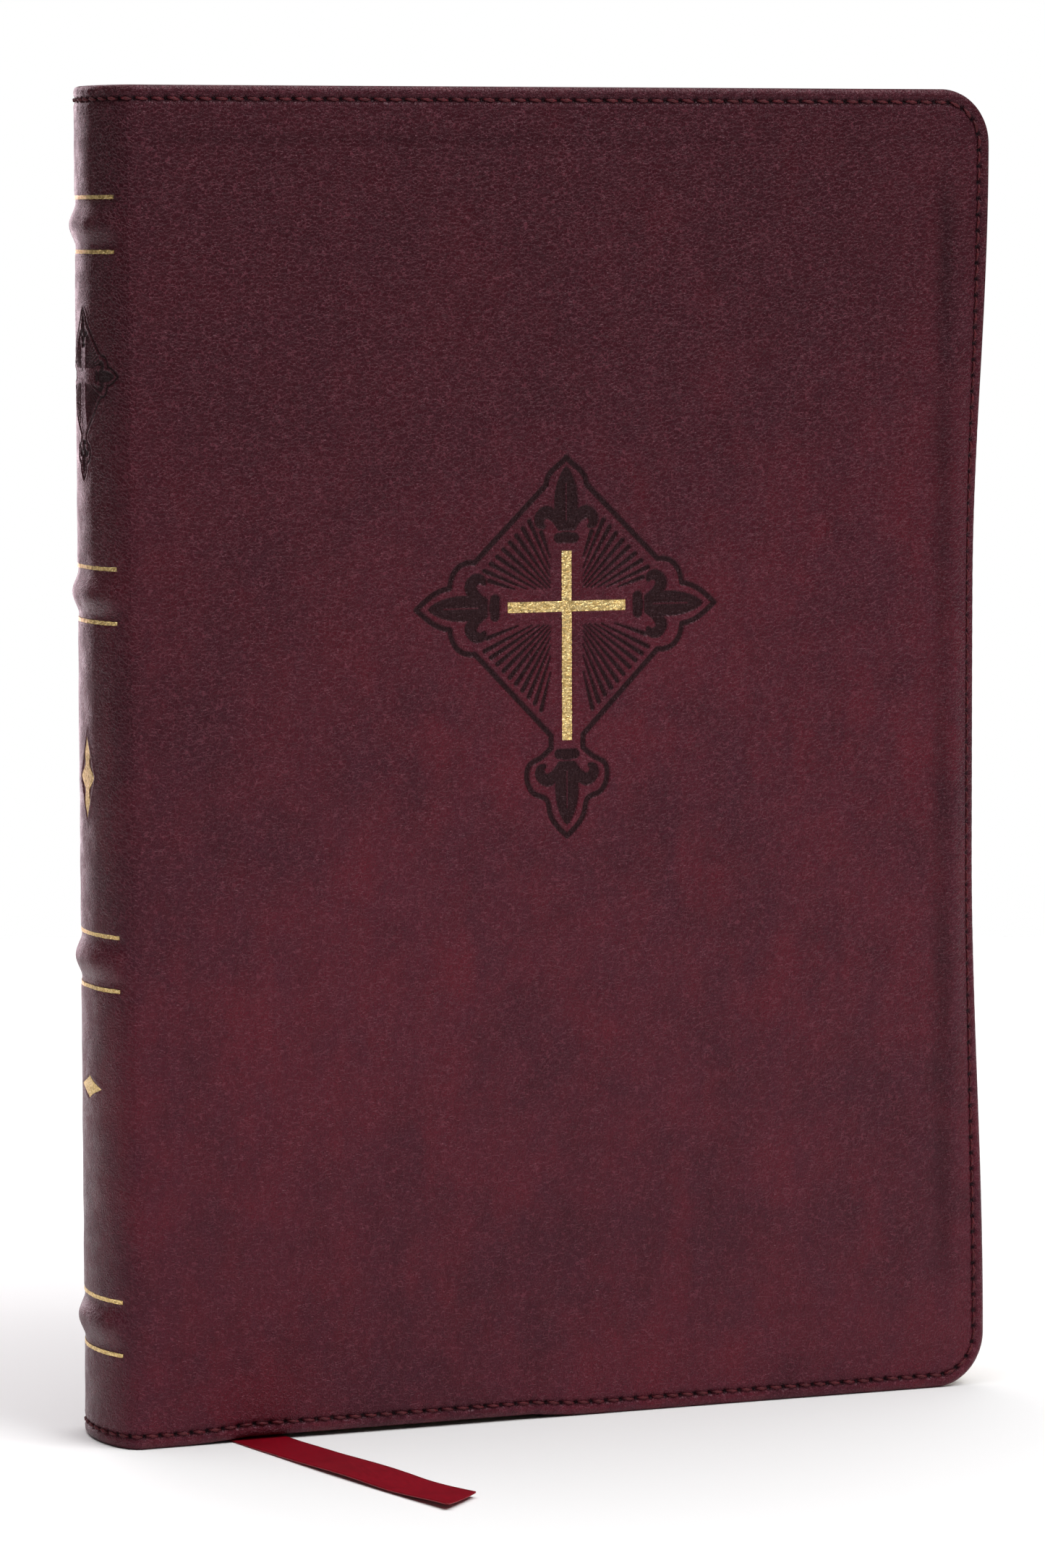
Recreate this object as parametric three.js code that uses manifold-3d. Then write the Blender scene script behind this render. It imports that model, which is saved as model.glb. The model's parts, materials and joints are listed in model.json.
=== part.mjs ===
// A devotional book in a soft imitation-leather case binding, standing upright on its tail edges.
// Millimetres. X runs from the spine (-X) to the fore edge (+X), Y from the front cover (-Y)
// to the back cover (+Y), and Z from tail to head. The origin is under the middle of the closed book.
import * as THREE from 'three';
import { mergeVertices } from 'three/addons/utils/BufferGeometryUtils.js';
import Module from 'manifold-3d';

const wasm = await Module();
wasm.setup();

// Driving dimensions of the whole book.
const HEIGHT = 241;
const WIDTH = 172;
const THICKNESS = 26;
const CORNER_RADIUS = 10;

// Raised bands across the spine, and the leather's bulge behind the hinges.
const BAND_RISE = 1.0;
const BAND_HEIGHT = 6.4;
const BAND_LAYERS = 3;
const BAND_COUNT = 4;
const FIRST_BAND_Z = 21.5;
const BAND_PITCH = 65.07;
const BAND_CORE_RISE = 0.9;
const BAND_CORE_HEIGHT = 4;
const BAND_CORE_REACH = 9.5;
const BAND_CORE_GAP = 0.2;
const SPINE_BULGE = 5.5;
const SPINE_WALL = 1.6;

// Places that follow from them.
const HALF_THICKNESS = THICKNESS / 2;
const FORE_X = WIDTH / 2;
const HINGE_X = -WIDTH / 2 + BAND_RISE + SPINE_BULGE;
const JOINT_GAP = 0.15;

// Cover: outer skin with turned-in margins, board in its pocket, pasted-down endpaper.
const COVER_THICKNESS = 2.0;
const BOARD_THICKNESS = 0.9;
const BOARD_DEPTH = 1.05;
const BOARD_HINGE_MARGIN = 6;
const BOARD_FORE_MARGIN = 9;
const BOARD_TAIL_MARGIN = 5;
const BOARD_HEAD_MARGIN = 9.5;
const ENDPAPER_THICKNESS = 0.2;
const ENDPAPER_MARGIN = 4;
const SLIP = 0.05;
const CUT_PAST = 0.5;

// Stitching round the margins.
const STITCH_INSET = 2.4;
const THREAD_WIDTH = 0.55;
const THREAD_THICKNESS = 0.35;
const GROOVE_WIDTH = 0.8;
const GROOVE_DEPTH = 0.45;

// Shallow arch in the front cover's tail edge that clears the marker ribbon.
const ARCH_START = 6;
const ARCH_END = 88;
const ARCH_RISE = 0.8;

// Gold foil: a cross on the front, rules beside each band, two ornaments on the spine.
const FOIL_THICKNESS = 0.12;
const FOIL_RECESS = 0.16;
const CROSS_HEIGHT = 34.2;
const CROSS_SPAN = 22.9;
const CROSS_BAR = 1.9;
const CROSS_CENTRE_X = 1.6;
const CROSS_ARM_Z = 148;
const CROSS_TOP_REACH = 10;
const RULE_WIDTH = 0.7;
const RULE_OFFSET = 4.78;
const RULE_REACH = 10.6;
const ORNAMENT_BED_GROWTH = 0.15;
const FOIL_BED_GAP = 0.02;

// Text block: ten page sections in two halves, with a narrow gap between the halves for the ribbon.
const TEXT_TAIL_Z = 3.2;
const TEXT_HEAD_Z = 231.6;
const TEXT_SPINE_X = -78.3;
const TEXT_FORE_X = 77.2;
const TEXT_HALF = 10.44;
const CENTRE_GAP = 0.48;
const SECTIONS_PER_HALF = 5;
const SECTION_SLIP = 0.06;
const SPINE_ROUND = 1.2;
const FORE_HOLLOW = 2.6;
const PAGE_CORNER_RADIUS = 6;
const FLYLEAF_THICKNESS = 0.19;

// Marker ribbon.
const RIBBON_WIDTH = 10;
const RIBBON_SLANT = -6;
const RIBBON_SLANT_ROWS = 4;
const RIBBON_INSIDE_SHARE = 0.74;
const RIBBON_INSIDE_STEPS = 24;
const RIBBON_OUTSIDE_STEPS = 48;
const RIBBON_THICKNESS = 0.3;
const LOWEST_Z = 0.02;

// ---------------------------------------------------------------- solids

function solidOf(geometry) {
  const bare = geometry.clone();
  bare.deleteAttribute('normal');
  bare.deleteAttribute('uv');
  const merged = mergeVertices(bare, 1e-5);
  const mesh = new wasm.Mesh({
    numProp: 3,
    vertProperties: new Float32Array(merged.attributes.position.array),
    triVerts: new Uint32Array(merged.index.array),
  });
  return new wasm.Manifold(mesh);
}

function geometryOf(solid) {
  const mesh = solid.getMesh();
  const geometry = new THREE.BufferGeometry();
  geometry.setAttribute('position', new THREE.BufferAttribute(new Float32Array(mesh.vertProperties), 3));
  geometry.setIndex(new THREE.BufferAttribute(new Uint32Array(mesh.triVerts), 1));
  geometry.computeVertexNormals();
  return geometry;
}

// A prism standing on an outline in the XY plane.
function prismUp(shape, lowZ, highZ) {
  const geometry = new THREE.ExtrudeGeometry(shape, {
    depth: highZ - lowZ, bevelEnabled: false, curveSegments: 8,
  });
  geometry.translate(0, 0, lowZ);
  return solidOf(geometry);
}

// A prism through the book's thickness, with its outline in the XZ plane.
function prismThrough(shape, lowY, highY) {
  const geometry = new THREE.ExtrudeGeometry(shape, {
    depth: highY - lowY, bevelEnabled: false, curveSegments: 8,
  });
  geometry.rotateX(Math.PI / 2);
  geometry.translate(0, highY, 0);
  return solidOf(geometry);
}

// A prism along X, with its outline in the YZ plane.
function prismAcross(shape, lowX, highX) {
  const geometry = new THREE.ExtrudeGeometry(shape, {
    depth: highX - lowX, bevelEnabled: false, curveSegments: 8,
  });
  geometry.applyMatrix4(new THREE.Matrix4().makeBasis(
    new THREE.Vector3(0, 1, 0), new THREE.Vector3(0, 0, 1), new THREE.Vector3(1, 0, 0)));
  geometry.translate(lowX, 0, 0);
  return solidOf(geometry);
}

// The two faces of a cover piece: side -1 is the front cover, side +1 the back cover.
function coverPrism(shape, side, outer, inner) {
  const faces = [side * outer, side * inner].sort((a, b) => a - b);
  return prismThrough(shape, faces[0], faces[1]);
}

// ---------------------------------------------------------------- outlines

// A sheet from the hinge side to the fore edge with both fore corners rounded.
function sheetOutline(left, right, low, high, radius) {
  const shape = new THREE.Shape();
  shape.moveTo(left, low);
  shape.lineTo(right - radius, low);
  shape.absarc(right - radius, low + radius, radius, -Math.PI / 2, 0, false);
  shape.lineTo(right, high - radius);
  shape.absarc(right - radius, high - radius, radius, 0, Math.PI / 2, false);
  shape.lineTo(left, high);
  shape.closePath();
  return shape;
}

// The front cover's outline: its tail edge is lifted in a low arch over the ribbon.
function archedCoverOutline(left) {
  const shape = new THREE.Shape();
  const start = HINGE_X + ARCH_START;
  const end = HINGE_X + ARCH_END;
  const steps = 12;
  shape.moveTo(left, 0);
  for (let i = 0; i <= steps; i += 1) {
    const t = i / steps;
    const rise = ARCH_RISE * Math.min(1, 4 * Math.sin(Math.PI * t) ** 2);
    shape.lineTo(start + t * (end - start), rise);
  }
  shape.lineTo(FORE_X - CORNER_RADIUS, 0);
  shape.absarc(FORE_X - CORNER_RADIUS, CORNER_RADIUS, CORNER_RADIUS, -Math.PI / 2, 0, false);
  shape.lineTo(FORE_X, HEIGHT - CORNER_RADIUS);
  shape.absarc(FORE_X - CORNER_RADIUS, HEIGHT - CORNER_RADIUS, CORNER_RADIUS, 0, Math.PI / 2, false);
  shape.lineTo(left, HEIGHT);
  shape.closePath();
  return shape;
}

// A U-shaped line of the given width that runs beside the tail, fore and head edges.
function marginOutline(left, width) {
  const outer = STITCH_INSET - width / 2;
  const inner = STITCH_INSET + width / 2;
  const shape = new THREE.Shape();
  const cornerX = FORE_X - CORNER_RADIUS;
  const highZ = HEIGHT - CORNER_RADIUS;
  shape.moveTo(left, outer);
  shape.lineTo(cornerX, outer);
  shape.absarc(cornerX, CORNER_RADIUS, CORNER_RADIUS - outer, -Math.PI / 2, 0, false);
  shape.lineTo(FORE_X - outer, highZ);
  shape.absarc(cornerX, highZ, CORNER_RADIUS - outer, 0, Math.PI / 2, false);
  shape.lineTo(left, HEIGHT - outer);
  shape.lineTo(left, HEIGHT - inner);
  shape.lineTo(cornerX, HEIGHT - inner);
  shape.absarc(cornerX, highZ, CORNER_RADIUS - inner, Math.PI / 2, 0, true);
  shape.lineTo(FORE_X - inner, CORNER_RADIUS);
  shape.absarc(cornerX, CORNER_RADIUS, CORNER_RADIUS - inner, 0, -Math.PI / 2, true);
  shape.lineTo(left, inner);
  shape.closePath();
  return shape;
}

// A plain Latin cross, grown by `grow` on every side.
function crossOutline(grow) {
  const half = CROSS_BAR / 2 + grow;
  const arm = CROSS_SPAN / 2 + grow;
  const top = CROSS_ARM_Z + CROSS_TOP_REACH + grow;
  const bottom = CROSS_ARM_Z + CROSS_TOP_REACH - CROSS_HEIGHT - grow;
  const corners = [
    [half, bottom], [half, CROSS_ARM_Z - half], [arm, CROSS_ARM_Z - half], [arm, CROSS_ARM_Z + half],
    [half, CROSS_ARM_Z + half], [half, top], [-half, top], [-half, CROSS_ARM_Z + half],
    [-arm, CROSS_ARM_Z + half], [-arm, CROSS_ARM_Z - half], [-half, CROSS_ARM_Z - half], [-half, bottom],
  ];
  return new THREE.Shape(corners.map(([x, z]) => new THREE.Vector2(CROSS_CENTRE_X + x, z)));
}

// Points on the spine's rounded back: an ellipse through both hinge lines, moved inward by `depth`.
function spineArc(depth, reach, steps) {
  const bulge = SPINE_BULGE - depth;
  const halfWidth = HALF_THICKNESS - depth;
  const limit = Math.asin(Math.min(1, reach / halfWidth));
  const points = [];
  for (let i = 0; i <= steps; i += 1) {
    const angle = -limit + (2 * limit * i) / steps;
    points.push(new THREE.Vector2(HINGE_X - bulge * Math.cos(angle), halfWidth * Math.sin(angle)));
  }
  return points;
}

// A strip of the spine between two depths under its outer face, as far as `reach` to each side.
function spineStripOutline(outerDepth, innerDepth, reach, steps) {
  const outer = spineArc(outerDepth, reach, steps);
  const inner = spineArc(innerDepth, reach, steps);
  return new THREE.Shape([...outer, ...inner.reverse()]);
}

// The rounded back of the text block at offset y from the middle.
function textSpineX(y) {
  return TEXT_SPINE_X - SPINE_ROUND * (1 - (y / TEXT_HALF) ** 2);
}

// The hollow fore edge of the text block at offset y from the middle.
function textForeX(y) {
  return TEXT_FORE_X - FORE_HOLLOW * (1 - (y / TEXT_HALF) ** 2);
}

// A strip behind the text block's back, between two distances from the folds.
function backStripOutline(near, far, reach, steps) {
  const outer = [];
  const inner = [];
  for (let i = 0; i <= steps; i += 1) {
    const y = -reach + (2 * reach * i) / steps;
    outer.push(new THREE.Vector2(textSpineX(y) - far, y));
    inner.push(new THREE.Vector2(textSpineX(y) - near, y));
  }
  return new THREE.Shape([...outer, ...inner.reverse()]);
}

// ---------------------------------------------------------------- materials

function material(color, roughness, metalness = 0) {
  return new THREE.MeshStandardMaterial({ color, roughness, metalness });
}

const leather = () => material(0x4d252b, 0.48);
const boardCard = () => material(0x8a8378, 0.9);
const endpaper = () => material(0xe9e2d2, 0.85);
const pagePaper = () => material(0xd8b878, 0.6);
const thread = () => material(0x4a1219, 0.7);
const sewing = () => material(0xe8e4da, 0.8);
const gauze = () => material(0xded9c8, 0.95);
const gold = () => material(0xd1b47f, 0.35, 0.9);
const silk = () => material(0x820019, 0.4);
const bandCloth = () => material(0x7c1622, 0.65);

const book = new THREE.Group();

function add(name, solid, look) {
  const mesh = new THREE.Mesh(solid.isBufferGeometry ? solid : geometryOf(solid), look);
  mesh.name = name;
  book.add(mesh);
}

// ---------------------------------------------------------------- covers

function coverSkin(side) {
  const left = HINGE_X + JOINT_GAP;
  const outline = side < 0
    ? archedCoverOutline(left)
    : sheetOutline(left, FORE_X, 0, HEIGHT, CORNER_RADIUS);
  const inner = HALF_THICKNESS - COVER_THICKNESS;
  const pocket = sheetOutline(
    HINGE_X + BOARD_HINGE_MARGIN - SLIP, FORE_X - BOARD_FORE_MARGIN + SLIP,
    BOARD_TAIL_MARGIN - SLIP, HEIGHT - BOARD_HEAD_MARGIN + SLIP, CORNER_RADIUS / 2);
  let solid = coverPrism(outline, side, HALF_THICKNESS, inner);
  solid = solid.subtract(coverPrism(pocket, side, HALF_THICKNESS - BOARD_DEPTH, inner - 1));
  const groove = marginOutline(left - 1, GROOVE_WIDTH);
  solid = solid.subtract(coverPrism(groove, side, HALF_THICKNESS + 1, HALF_THICKNESS - GROOVE_DEPTH));
  if (side < 0) {
    const bed = coverPrism(crossOutline(SLIP), side, HALF_THICKNESS + 1, HALF_THICKNESS - FOIL_RECESS);
    solid = solid.subtract(bed);
  }
  return solid;
}

function coverBoard(side) {
  const outline = sheetOutline(
    HINGE_X + BOARD_HINGE_MARGIN, FORE_X - BOARD_FORE_MARGIN,
    BOARD_TAIL_MARGIN, HEIGHT - BOARD_HEAD_MARGIN, CORNER_RADIUS / 2);
  const outer = HALF_THICKNESS - BOARD_DEPTH - SLIP;
  return coverPrism(outline, side, outer, outer - BOARD_THICKNESS + SLIP);
}

function coverEndpaper(side) {
  const outline = sheetOutline(
    HINGE_X + ENDPAPER_MARGIN / 2, FORE_X - ENDPAPER_MARGIN,
    ENDPAPER_MARGIN, HEIGHT - ENDPAPER_MARGIN, CORNER_RADIUS - ENDPAPER_MARGIN);
  const outer = HALF_THICKNESS - COVER_THICKNESS - SLIP;
  return coverPrism(outline, side, outer, outer - ENDPAPER_THICKNESS);
}

function coverStitching(side) {
  const outline = marginOutline(HINGE_X + 2 * JOINT_GAP, THREAD_WIDTH);
  const outer = HALF_THICKNESS - SLIP;
  return coverPrism(outline, side, outer, outer - THREAD_THICKNESS);
}

function buildCover(label, side) {
  add(`${label}_cover_skin`, coverSkin(side), leather());
  add(`${label}_cover_board`, coverBoard(side), boardCard());
  add(`${label}_pasted_endpaper`, coverEndpaper(side), endpaper());
  add(`${label}_margin_stitching`, coverStitching(side), thread());
}

// ---------------------------------------------------------------- spine

const ARC_STEPS = 18;

function bandCentre(index) {
  return FIRST_BAND_Z + index * BAND_PITCH;
}

// A gold lozenge with a smaller one above and below, joined by a stem, in the YZ plane.
function tallOrnamentOutline(centreZ, grow) {
  const half = [
    [0.0, 7.3], [1.3, 5.6], [0.35, 4.4], [0.35, 3.7], [3.4, 0.0],
    [0.35, -3.7], [0.35, -4.4], [1.3, -5.6], [0.0, -7.3],
  ];
  return mirroredOutline(half, centreZ, grow);
}

// A small gold lozenge between two tapering points, in the YZ plane.
function wideOrnamentOutline(centreZ, grow) {
  const half = [[0.0, 2.0], [1.2, 0.4], [5.2, 0.0], [1.2, -0.4], [0.0, -2.0]];
  return mirroredOutline(half, centreZ, grow);
}

// The bed of an ornament is wider by `grow` to each side and longer at its two tips.
function mirroredOutline(half, centreZ, grow) {
  const right = half.map(([y, z]) => (y > 0 ? [y + grow, z] : [0, z + 4 * grow * Math.sign(z)]));
  const left = right.slice(1, -1).reverse().map(([y, z]) => [-y, z]);
  return new THREE.Shape([...right, ...left].map(([y, z]) => new THREE.Vector2(y, centreZ + z)));
}

const ORNAMENTS = [
  { name: 'spine_foil_ornament_upper', outline: tallOrnamentOutline, z: FIRST_BAND_Z + 1.5 * BAND_PITCH },
  { name: 'spine_foil_ornament_lower', outline: wideOrnamentOutline, z: FIRST_BAND_Z + 0.65 * BAND_PITCH },
];

// The part of the spine's face between two depths that lies inside an outline in the YZ plane.
function spineInlay(outline, outerDepth, innerDepth) {
  const column = prismAcross(outline, HINGE_X - 3 * SPINE_BULGE, HINGE_X);
  const shell = prismUp(spineStripOutline(outerDepth, innerDepth, 8, 12), 0, HEIGHT);
  return column.intersect(shell);
}

function spineStrip(outerDepth, innerDepth, reach, centreZ, height) {
  const outline = spineStripOutline(outerDepth, innerDepth, reach, ARC_STEPS);
  return prismUp(outline, centreZ - height / 2, centreZ + height / 2);
}

// The rounded leather back, with its raised bands and the beds of everything set into it.
function spineSkin() {
  const end = HINGE_X - JOINT_GAP;
  const outer = spineArc(0, HALF_THICKNESS, ARC_STEPS);
  const inner = spineArc(SPINE_WALL, HALF_THICKNESS - SPINE_WALL, ARC_STEPS);
  const trimmed = (points) => points.map((p) => new THREE.Vector2(Math.min(p.x, end), p.y));
  let solid = prismUp(new THREE.Shape([...trimmed(outer), ...trimmed(inner).reverse()]), 0, HEIGHT);
  for (let i = 0; i < BAND_COUNT; i += 1) {
    const z = bandCentre(i);
    const steps = BAND_LAYERS;
    for (let s = 0; s < steps; s += 1) {
      const rise = BAND_RISE * Math.cos((Math.PI / 2) * (s / steps));
      const height = (BAND_HEIGHT * (s + 1)) / steps;
      solid = solid.add(spineStrip(-rise, SPINE_WALL / 2, HALF_THICKNESS - 1.5, z, height));
    }
    solid = solid.subtract(spineStrip(SPINE_WALL - BAND_CORE_RISE, SPINE_WALL + CUT_PAST,
      BAND_CORE_REACH + BAND_CORE_GAP, z, BAND_CORE_HEIGHT + 2 * BAND_CORE_GAP));
    for (const offset of [-RULE_OFFSET, RULE_OFFSET]) {
      const bed = spineStrip(-CUT_PAST, FOIL_RECESS, RULE_REACH + SLIP, z + offset, RULE_WIDTH + 2 * SLIP);
      solid = solid.subtract(bed);
    }
  }
  for (const z of [STITCH_INSET, HEIGHT - STITCH_INSET]) {
    solid = solid.subtract(spineStrip(-CUT_PAST, GROOVE_DEPTH, HALF_THICKNESS - 0.6, z, GROOVE_WIDTH));
  }
  for (const ornament of ORNAMENTS) {
    const bed = ornament.outline(ornament.z, ORNAMENT_BED_GROWTH);
    solid = solid.subtract(spineInlay(bed, -CUT_PAST, FOIL_RECESS));
  }
  return solid;
}

function buildSpine() {
  add('spine_skin', spineSkin(), leather());
  for (let i = 0; i < BAND_COUNT; i += 1) {
    const z = bandCentre(i);
    const core = spineStrip(SPINE_WALL - BAND_CORE_RISE + BAND_CORE_GAP, SPINE_WALL,
      BAND_CORE_REACH, z, BAND_CORE_HEIGHT);
    add(`raised_band_core_${i + 1}`, core, boardCard());
    const rule = (offset) => spineStrip(FOIL_RECESS - FOIL_THICKNESS, FOIL_RECESS - FOIL_BED_GAP, RULE_REACH,
      z + offset, RULE_WIDTH);
    add(`spine_gold_rule_${2 * i + 1}`, rule(-RULE_OFFSET), gold());
    add(`spine_gold_rule_${2 * i + 2}`, rule(RULE_OFFSET), gold());
  }
  for (const ornament of ORNAMENTS) {
    add(ornament.name, spineInlay(ornament.outline(ornament.z, 0), FOIL_RECESS - FOIL_THICKNESS,
      FOIL_RECESS - FOIL_BED_GAP), gold());
  }
  const stitch = (z) => spineStrip(SLIP, GROOVE_DEPTH - SLIP, HALF_THICKNESS - 0.9, z, THREAD_WIDTH);
  add('spine_stitching_tail', stitch(STITCH_INSET), thread());
  add('spine_stitching_head', stitch(HEIGHT - STITCH_INSET), thread());
  add('spine_card_liner', prismUp(spineStripOutline(SPINE_WALL + 0.15, SPINE_WALL + 0.85, 8.6, ARC_STEPS),
    ENDPAPER_MARGIN, HEIGHT - ENDPAPER_MARGIN), boardCard());
}

// ---------------------------------------------------------------- text block

const THREAD_STATIONS = [34, 88, 142, 198];

function pageSection(innerY, outerY) {
  const steps = 3;
  const spineSide = [];
  const foreSide = [];
  for (let i = 0; i <= steps; i += 1) {
    const y = innerY + ((outerY - innerY) * i) / steps;
    spineSide.push(new THREE.Vector2(textSpineX(y), y));
    foreSide.push(new THREE.Vector2(textForeX(y), y));
  }
  const [low, high] = innerY < outerY ? [spineSide, foreSide] : [spineSide.reverse(), foreSide.reverse()];
  const slab = prismUp(new THREE.Shape([...low.reverse(), ...high]), TEXT_TAIL_Z, TEXT_HEAD_Z);
  const reach = textForeX((innerY + outerY) / 2) + 0.3;
  const trim = sheetOutline(TEXT_SPINE_X - 10, reach, TEXT_TAIL_Z, TEXT_HEAD_Z, PAGE_CORNER_RADIUS);
  return slab.intersect(prismThrough(trim, -HALF_THICKNESS, HALF_THICKNESS));
}

function buildHalf(label, side, firstNumber, step) {
  const flyleafOuter = TEXT_HALF + SECTION_SLIP + FLYLEAF_THICKNESS;
  const flyleaf = sheetOutline(TEXT_SPINE_X + SLIP, TEXT_FORE_X,
    TEXT_TAIL_Z, TEXT_HEAD_Z, PAGE_CORNER_RADIUS);
  add(`${label}_flyleaf`, coverPrism(flyleaf, side, flyleafOuter, TEXT_HALF + SECTION_SLIP), endpaper());
  const pitch = (TEXT_HALF - CENTRE_GAP + SECTION_SLIP) / SECTIONS_PER_HALF;
  for (let i = 0; i < SECTIONS_PER_HALF; i += 1) {
    const outer = TEXT_HALF - i * pitch;
    const inner = outer - pitch + SECTION_SLIP;
    const number = String(firstNumber + i * step).padStart(2, '0');
    add(`page_section_${number}`, pageSection(side * inner, side * outer), pagePaper());
  }
}

function buildTextBlock() {
  buildHalf('front', -1, 1, 1);
  buildHalf('back', 1, 2 * SECTIONS_PER_HALF, -1);
  THREAD_STATIONS.forEach((z, i) => {
    add(`sewing_thread_${i + 1}`, prismUp(backStripOutline(0.15, 0.45, 9.4, 14), z, z + 0.8), sewing());
  });
  add('spine_gauze', prismUp(backStripOutline(0.55, 0.8, 9.6, 14), 12, 222), gauze());
  const beadOutline = backStripOutline(-0.7, 1.1, 9.2, 14);
  add('head_band', prismUp(beadOutline, TEXT_HEAD_Z + 0.1, TEXT_HEAD_Z + 1.8), bandCloth());
  add('tail_band', prismUp(beadOutline, TEXT_TAIL_Z - 1.8, TEXT_TAIL_Z - 0.1), bandCloth());
}

// ---------------------------------------------------------------- marker ribbon

// The ribbon's middle line: between the halves of the text block, round under the front pages
// and the front cover's tail edge, then along the surface the book stands on. x, y, z.
const RIBBON_ROUTE = [
  [-73.4, 0, 235.4], [-73.2, 0, 222], [-72.6, 0, 195], [-71.8, 0, 165], [-70.7, 0, 135], [-69.3, 0, 105],
  [-67.5, 0, 75], [-65.1, 0, 48], [-62.7, 0, 26], [-60.9, 0, 12], [-60.1, 0, 5.2], [-59.85, -0.1, 3.0],
  [-59.7, -0.8, 1.25], [-59.4, -2.4, 0.42], [-58.9, -5.5, 0.24], [-57.9, -11, 0.22], [-56.7, -18, 0.22],
  [-55.2, -26, 0.23], [-53.6, -35, 0.24], [-51.9, -44, 0.24], [-50.1, -53, 0.23], [-48.2, -62, 0.22],
  [-46.1, -71, 0.22], [-44.4, -78, 0.22],
];

// A flat strip of rectangular section along the route. It lies in the gap's plane inside the
// book and turns flat onto the surface outside it. Its free end is cut on the slant.
function ribbonGeometry() {
  const route = RIBBON_ROUTE.map((p) => new THREE.Vector3(...p));
  const curve = new THREE.CatmullRomCurve3(route, false, 'centripetal');
  const steps = RIBBON_INSIDE_STEPS + RIBBON_OUTSIDE_STEPS;
  const positions = [];
  for (let i = 0; i <= steps; i += 1) {
    const t = i <= RIBBON_INSIDE_STEPS
      ? (RIBBON_INSIDE_SHARE * i) / RIBBON_INSIDE_STEPS
      : RIBBON_INSIDE_SHARE + ((1 - RIBBON_INSIDE_SHARE) * (i - RIBBON_INSIDE_STEPS)) / RIBBON_OUTSIDE_STEPS;
    const centre = curve.getPointAt(t);
    const along = curve.getTangentAt(t);
    const reference = new THREE.Vector3(1, along.y * -0.35, 0);
    const across = reference.addScaledVector(along, -reference.dot(along)).normalize();
    const normal = new THREE.Vector3().crossVectors(along, across);
    const cut = (RIBBON_SLANT * Math.max(0, i - steps + RIBBON_SLANT_ROWS)) / RIBBON_SLANT_ROWS;
    for (const [u, v] of [[-0.5, -0.5], [0.5, -0.5], [0.5, 0.5], [-0.5, 0.5]]) {
      const point = centre.clone()
        .addScaledVector(across, u * RIBBON_WIDTH)
        .addScaledVector(normal, v * RIBBON_THICKNESS)
        .addScaledVector(along, cut * u);
      positions.push(point.x, point.y, Math.max(point.z, LOWEST_Z));
    }
  }
  const index = [0, 2, 1, 0, 3, 2];
  for (let i = 0; i < steps; i += 1) {
    for (let k = 0; k < 4; k += 1) {
      const a = 4 * i + k;
      const b = 4 * i + ((k + 1) % 4);
      index.push(a, b, a + 4, b, b + 4, a + 4);
    }
  }
  const last = 4 * steps;
  index.push(last, last + 1, last + 2, last, last + 2, last + 3);
  const geometry = new THREE.BufferGeometry();
  geometry.setAttribute('position', new THREE.Float32BufferAttribute(positions, 3));
  geometry.setIndex(index);
  geometry.computeVertexNormals();
  return geometry;
}

buildCover('front', -1);
buildCover('back', 1);
add('front_foil_cross', coverPrism(crossOutline(0), -1, HALF_THICKNESS - FOIL_RECESS + FOIL_THICKNESS,
  HALF_THICKNESS - FOIL_RECESS + FOIL_BED_GAP), gold());
buildSpine();
buildTextBlock();
add('marker_ribbon', ribbonGeometry(), silk());

export default book;
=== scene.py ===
import json
import math

import bpy
import numpy as np
from mathutils import Matrix, Vector


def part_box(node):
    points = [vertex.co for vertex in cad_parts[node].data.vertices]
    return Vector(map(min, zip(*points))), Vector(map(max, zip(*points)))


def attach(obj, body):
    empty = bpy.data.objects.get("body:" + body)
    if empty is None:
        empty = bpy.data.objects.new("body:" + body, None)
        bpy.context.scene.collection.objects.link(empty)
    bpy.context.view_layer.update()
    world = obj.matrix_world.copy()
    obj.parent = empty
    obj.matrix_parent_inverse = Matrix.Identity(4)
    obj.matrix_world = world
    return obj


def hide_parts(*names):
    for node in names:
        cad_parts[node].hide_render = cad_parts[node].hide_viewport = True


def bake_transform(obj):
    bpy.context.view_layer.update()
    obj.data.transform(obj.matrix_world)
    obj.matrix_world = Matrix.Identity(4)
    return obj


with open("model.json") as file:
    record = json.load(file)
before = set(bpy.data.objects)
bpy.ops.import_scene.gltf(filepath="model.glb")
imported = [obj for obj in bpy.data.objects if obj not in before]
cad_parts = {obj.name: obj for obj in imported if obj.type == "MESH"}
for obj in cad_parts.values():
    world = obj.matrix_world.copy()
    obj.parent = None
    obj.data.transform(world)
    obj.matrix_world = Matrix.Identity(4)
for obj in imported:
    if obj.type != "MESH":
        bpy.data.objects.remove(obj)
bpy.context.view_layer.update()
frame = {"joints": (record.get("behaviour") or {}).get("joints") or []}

MM = 0.001
FRONT, BACK = -1, 1


def box_mm(node):
    low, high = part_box(node)
    return np.array(low) / MM, np.array(high) / MM


# ---------------------------------------------------------------- sizes taken from the frame

JOINTS = {joint["name"]: joint for joint in frame["joints"]}
HINGE_X = JOINTS["front_cover_hinge"]["pos_m"][0] / MM
COVER_LOW, COVER_HIGH = box_mm("front_cover_skin")
SPINE_LOW, SPINE_HIGH = box_mm("spine_skin")
BOARD_LOW, BOARD_HIGH = box_mm("front_cover_board")
TEXT_LOW, TEXT_HIGH = box_mm("page_section_01")
HEIGHT = COVER_HIGH[2]
HALF = SPINE_HIGH[1]
FORE_S = COVER_HIGH[0] - HINGE_X
CORNER_R = 10.0

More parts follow.
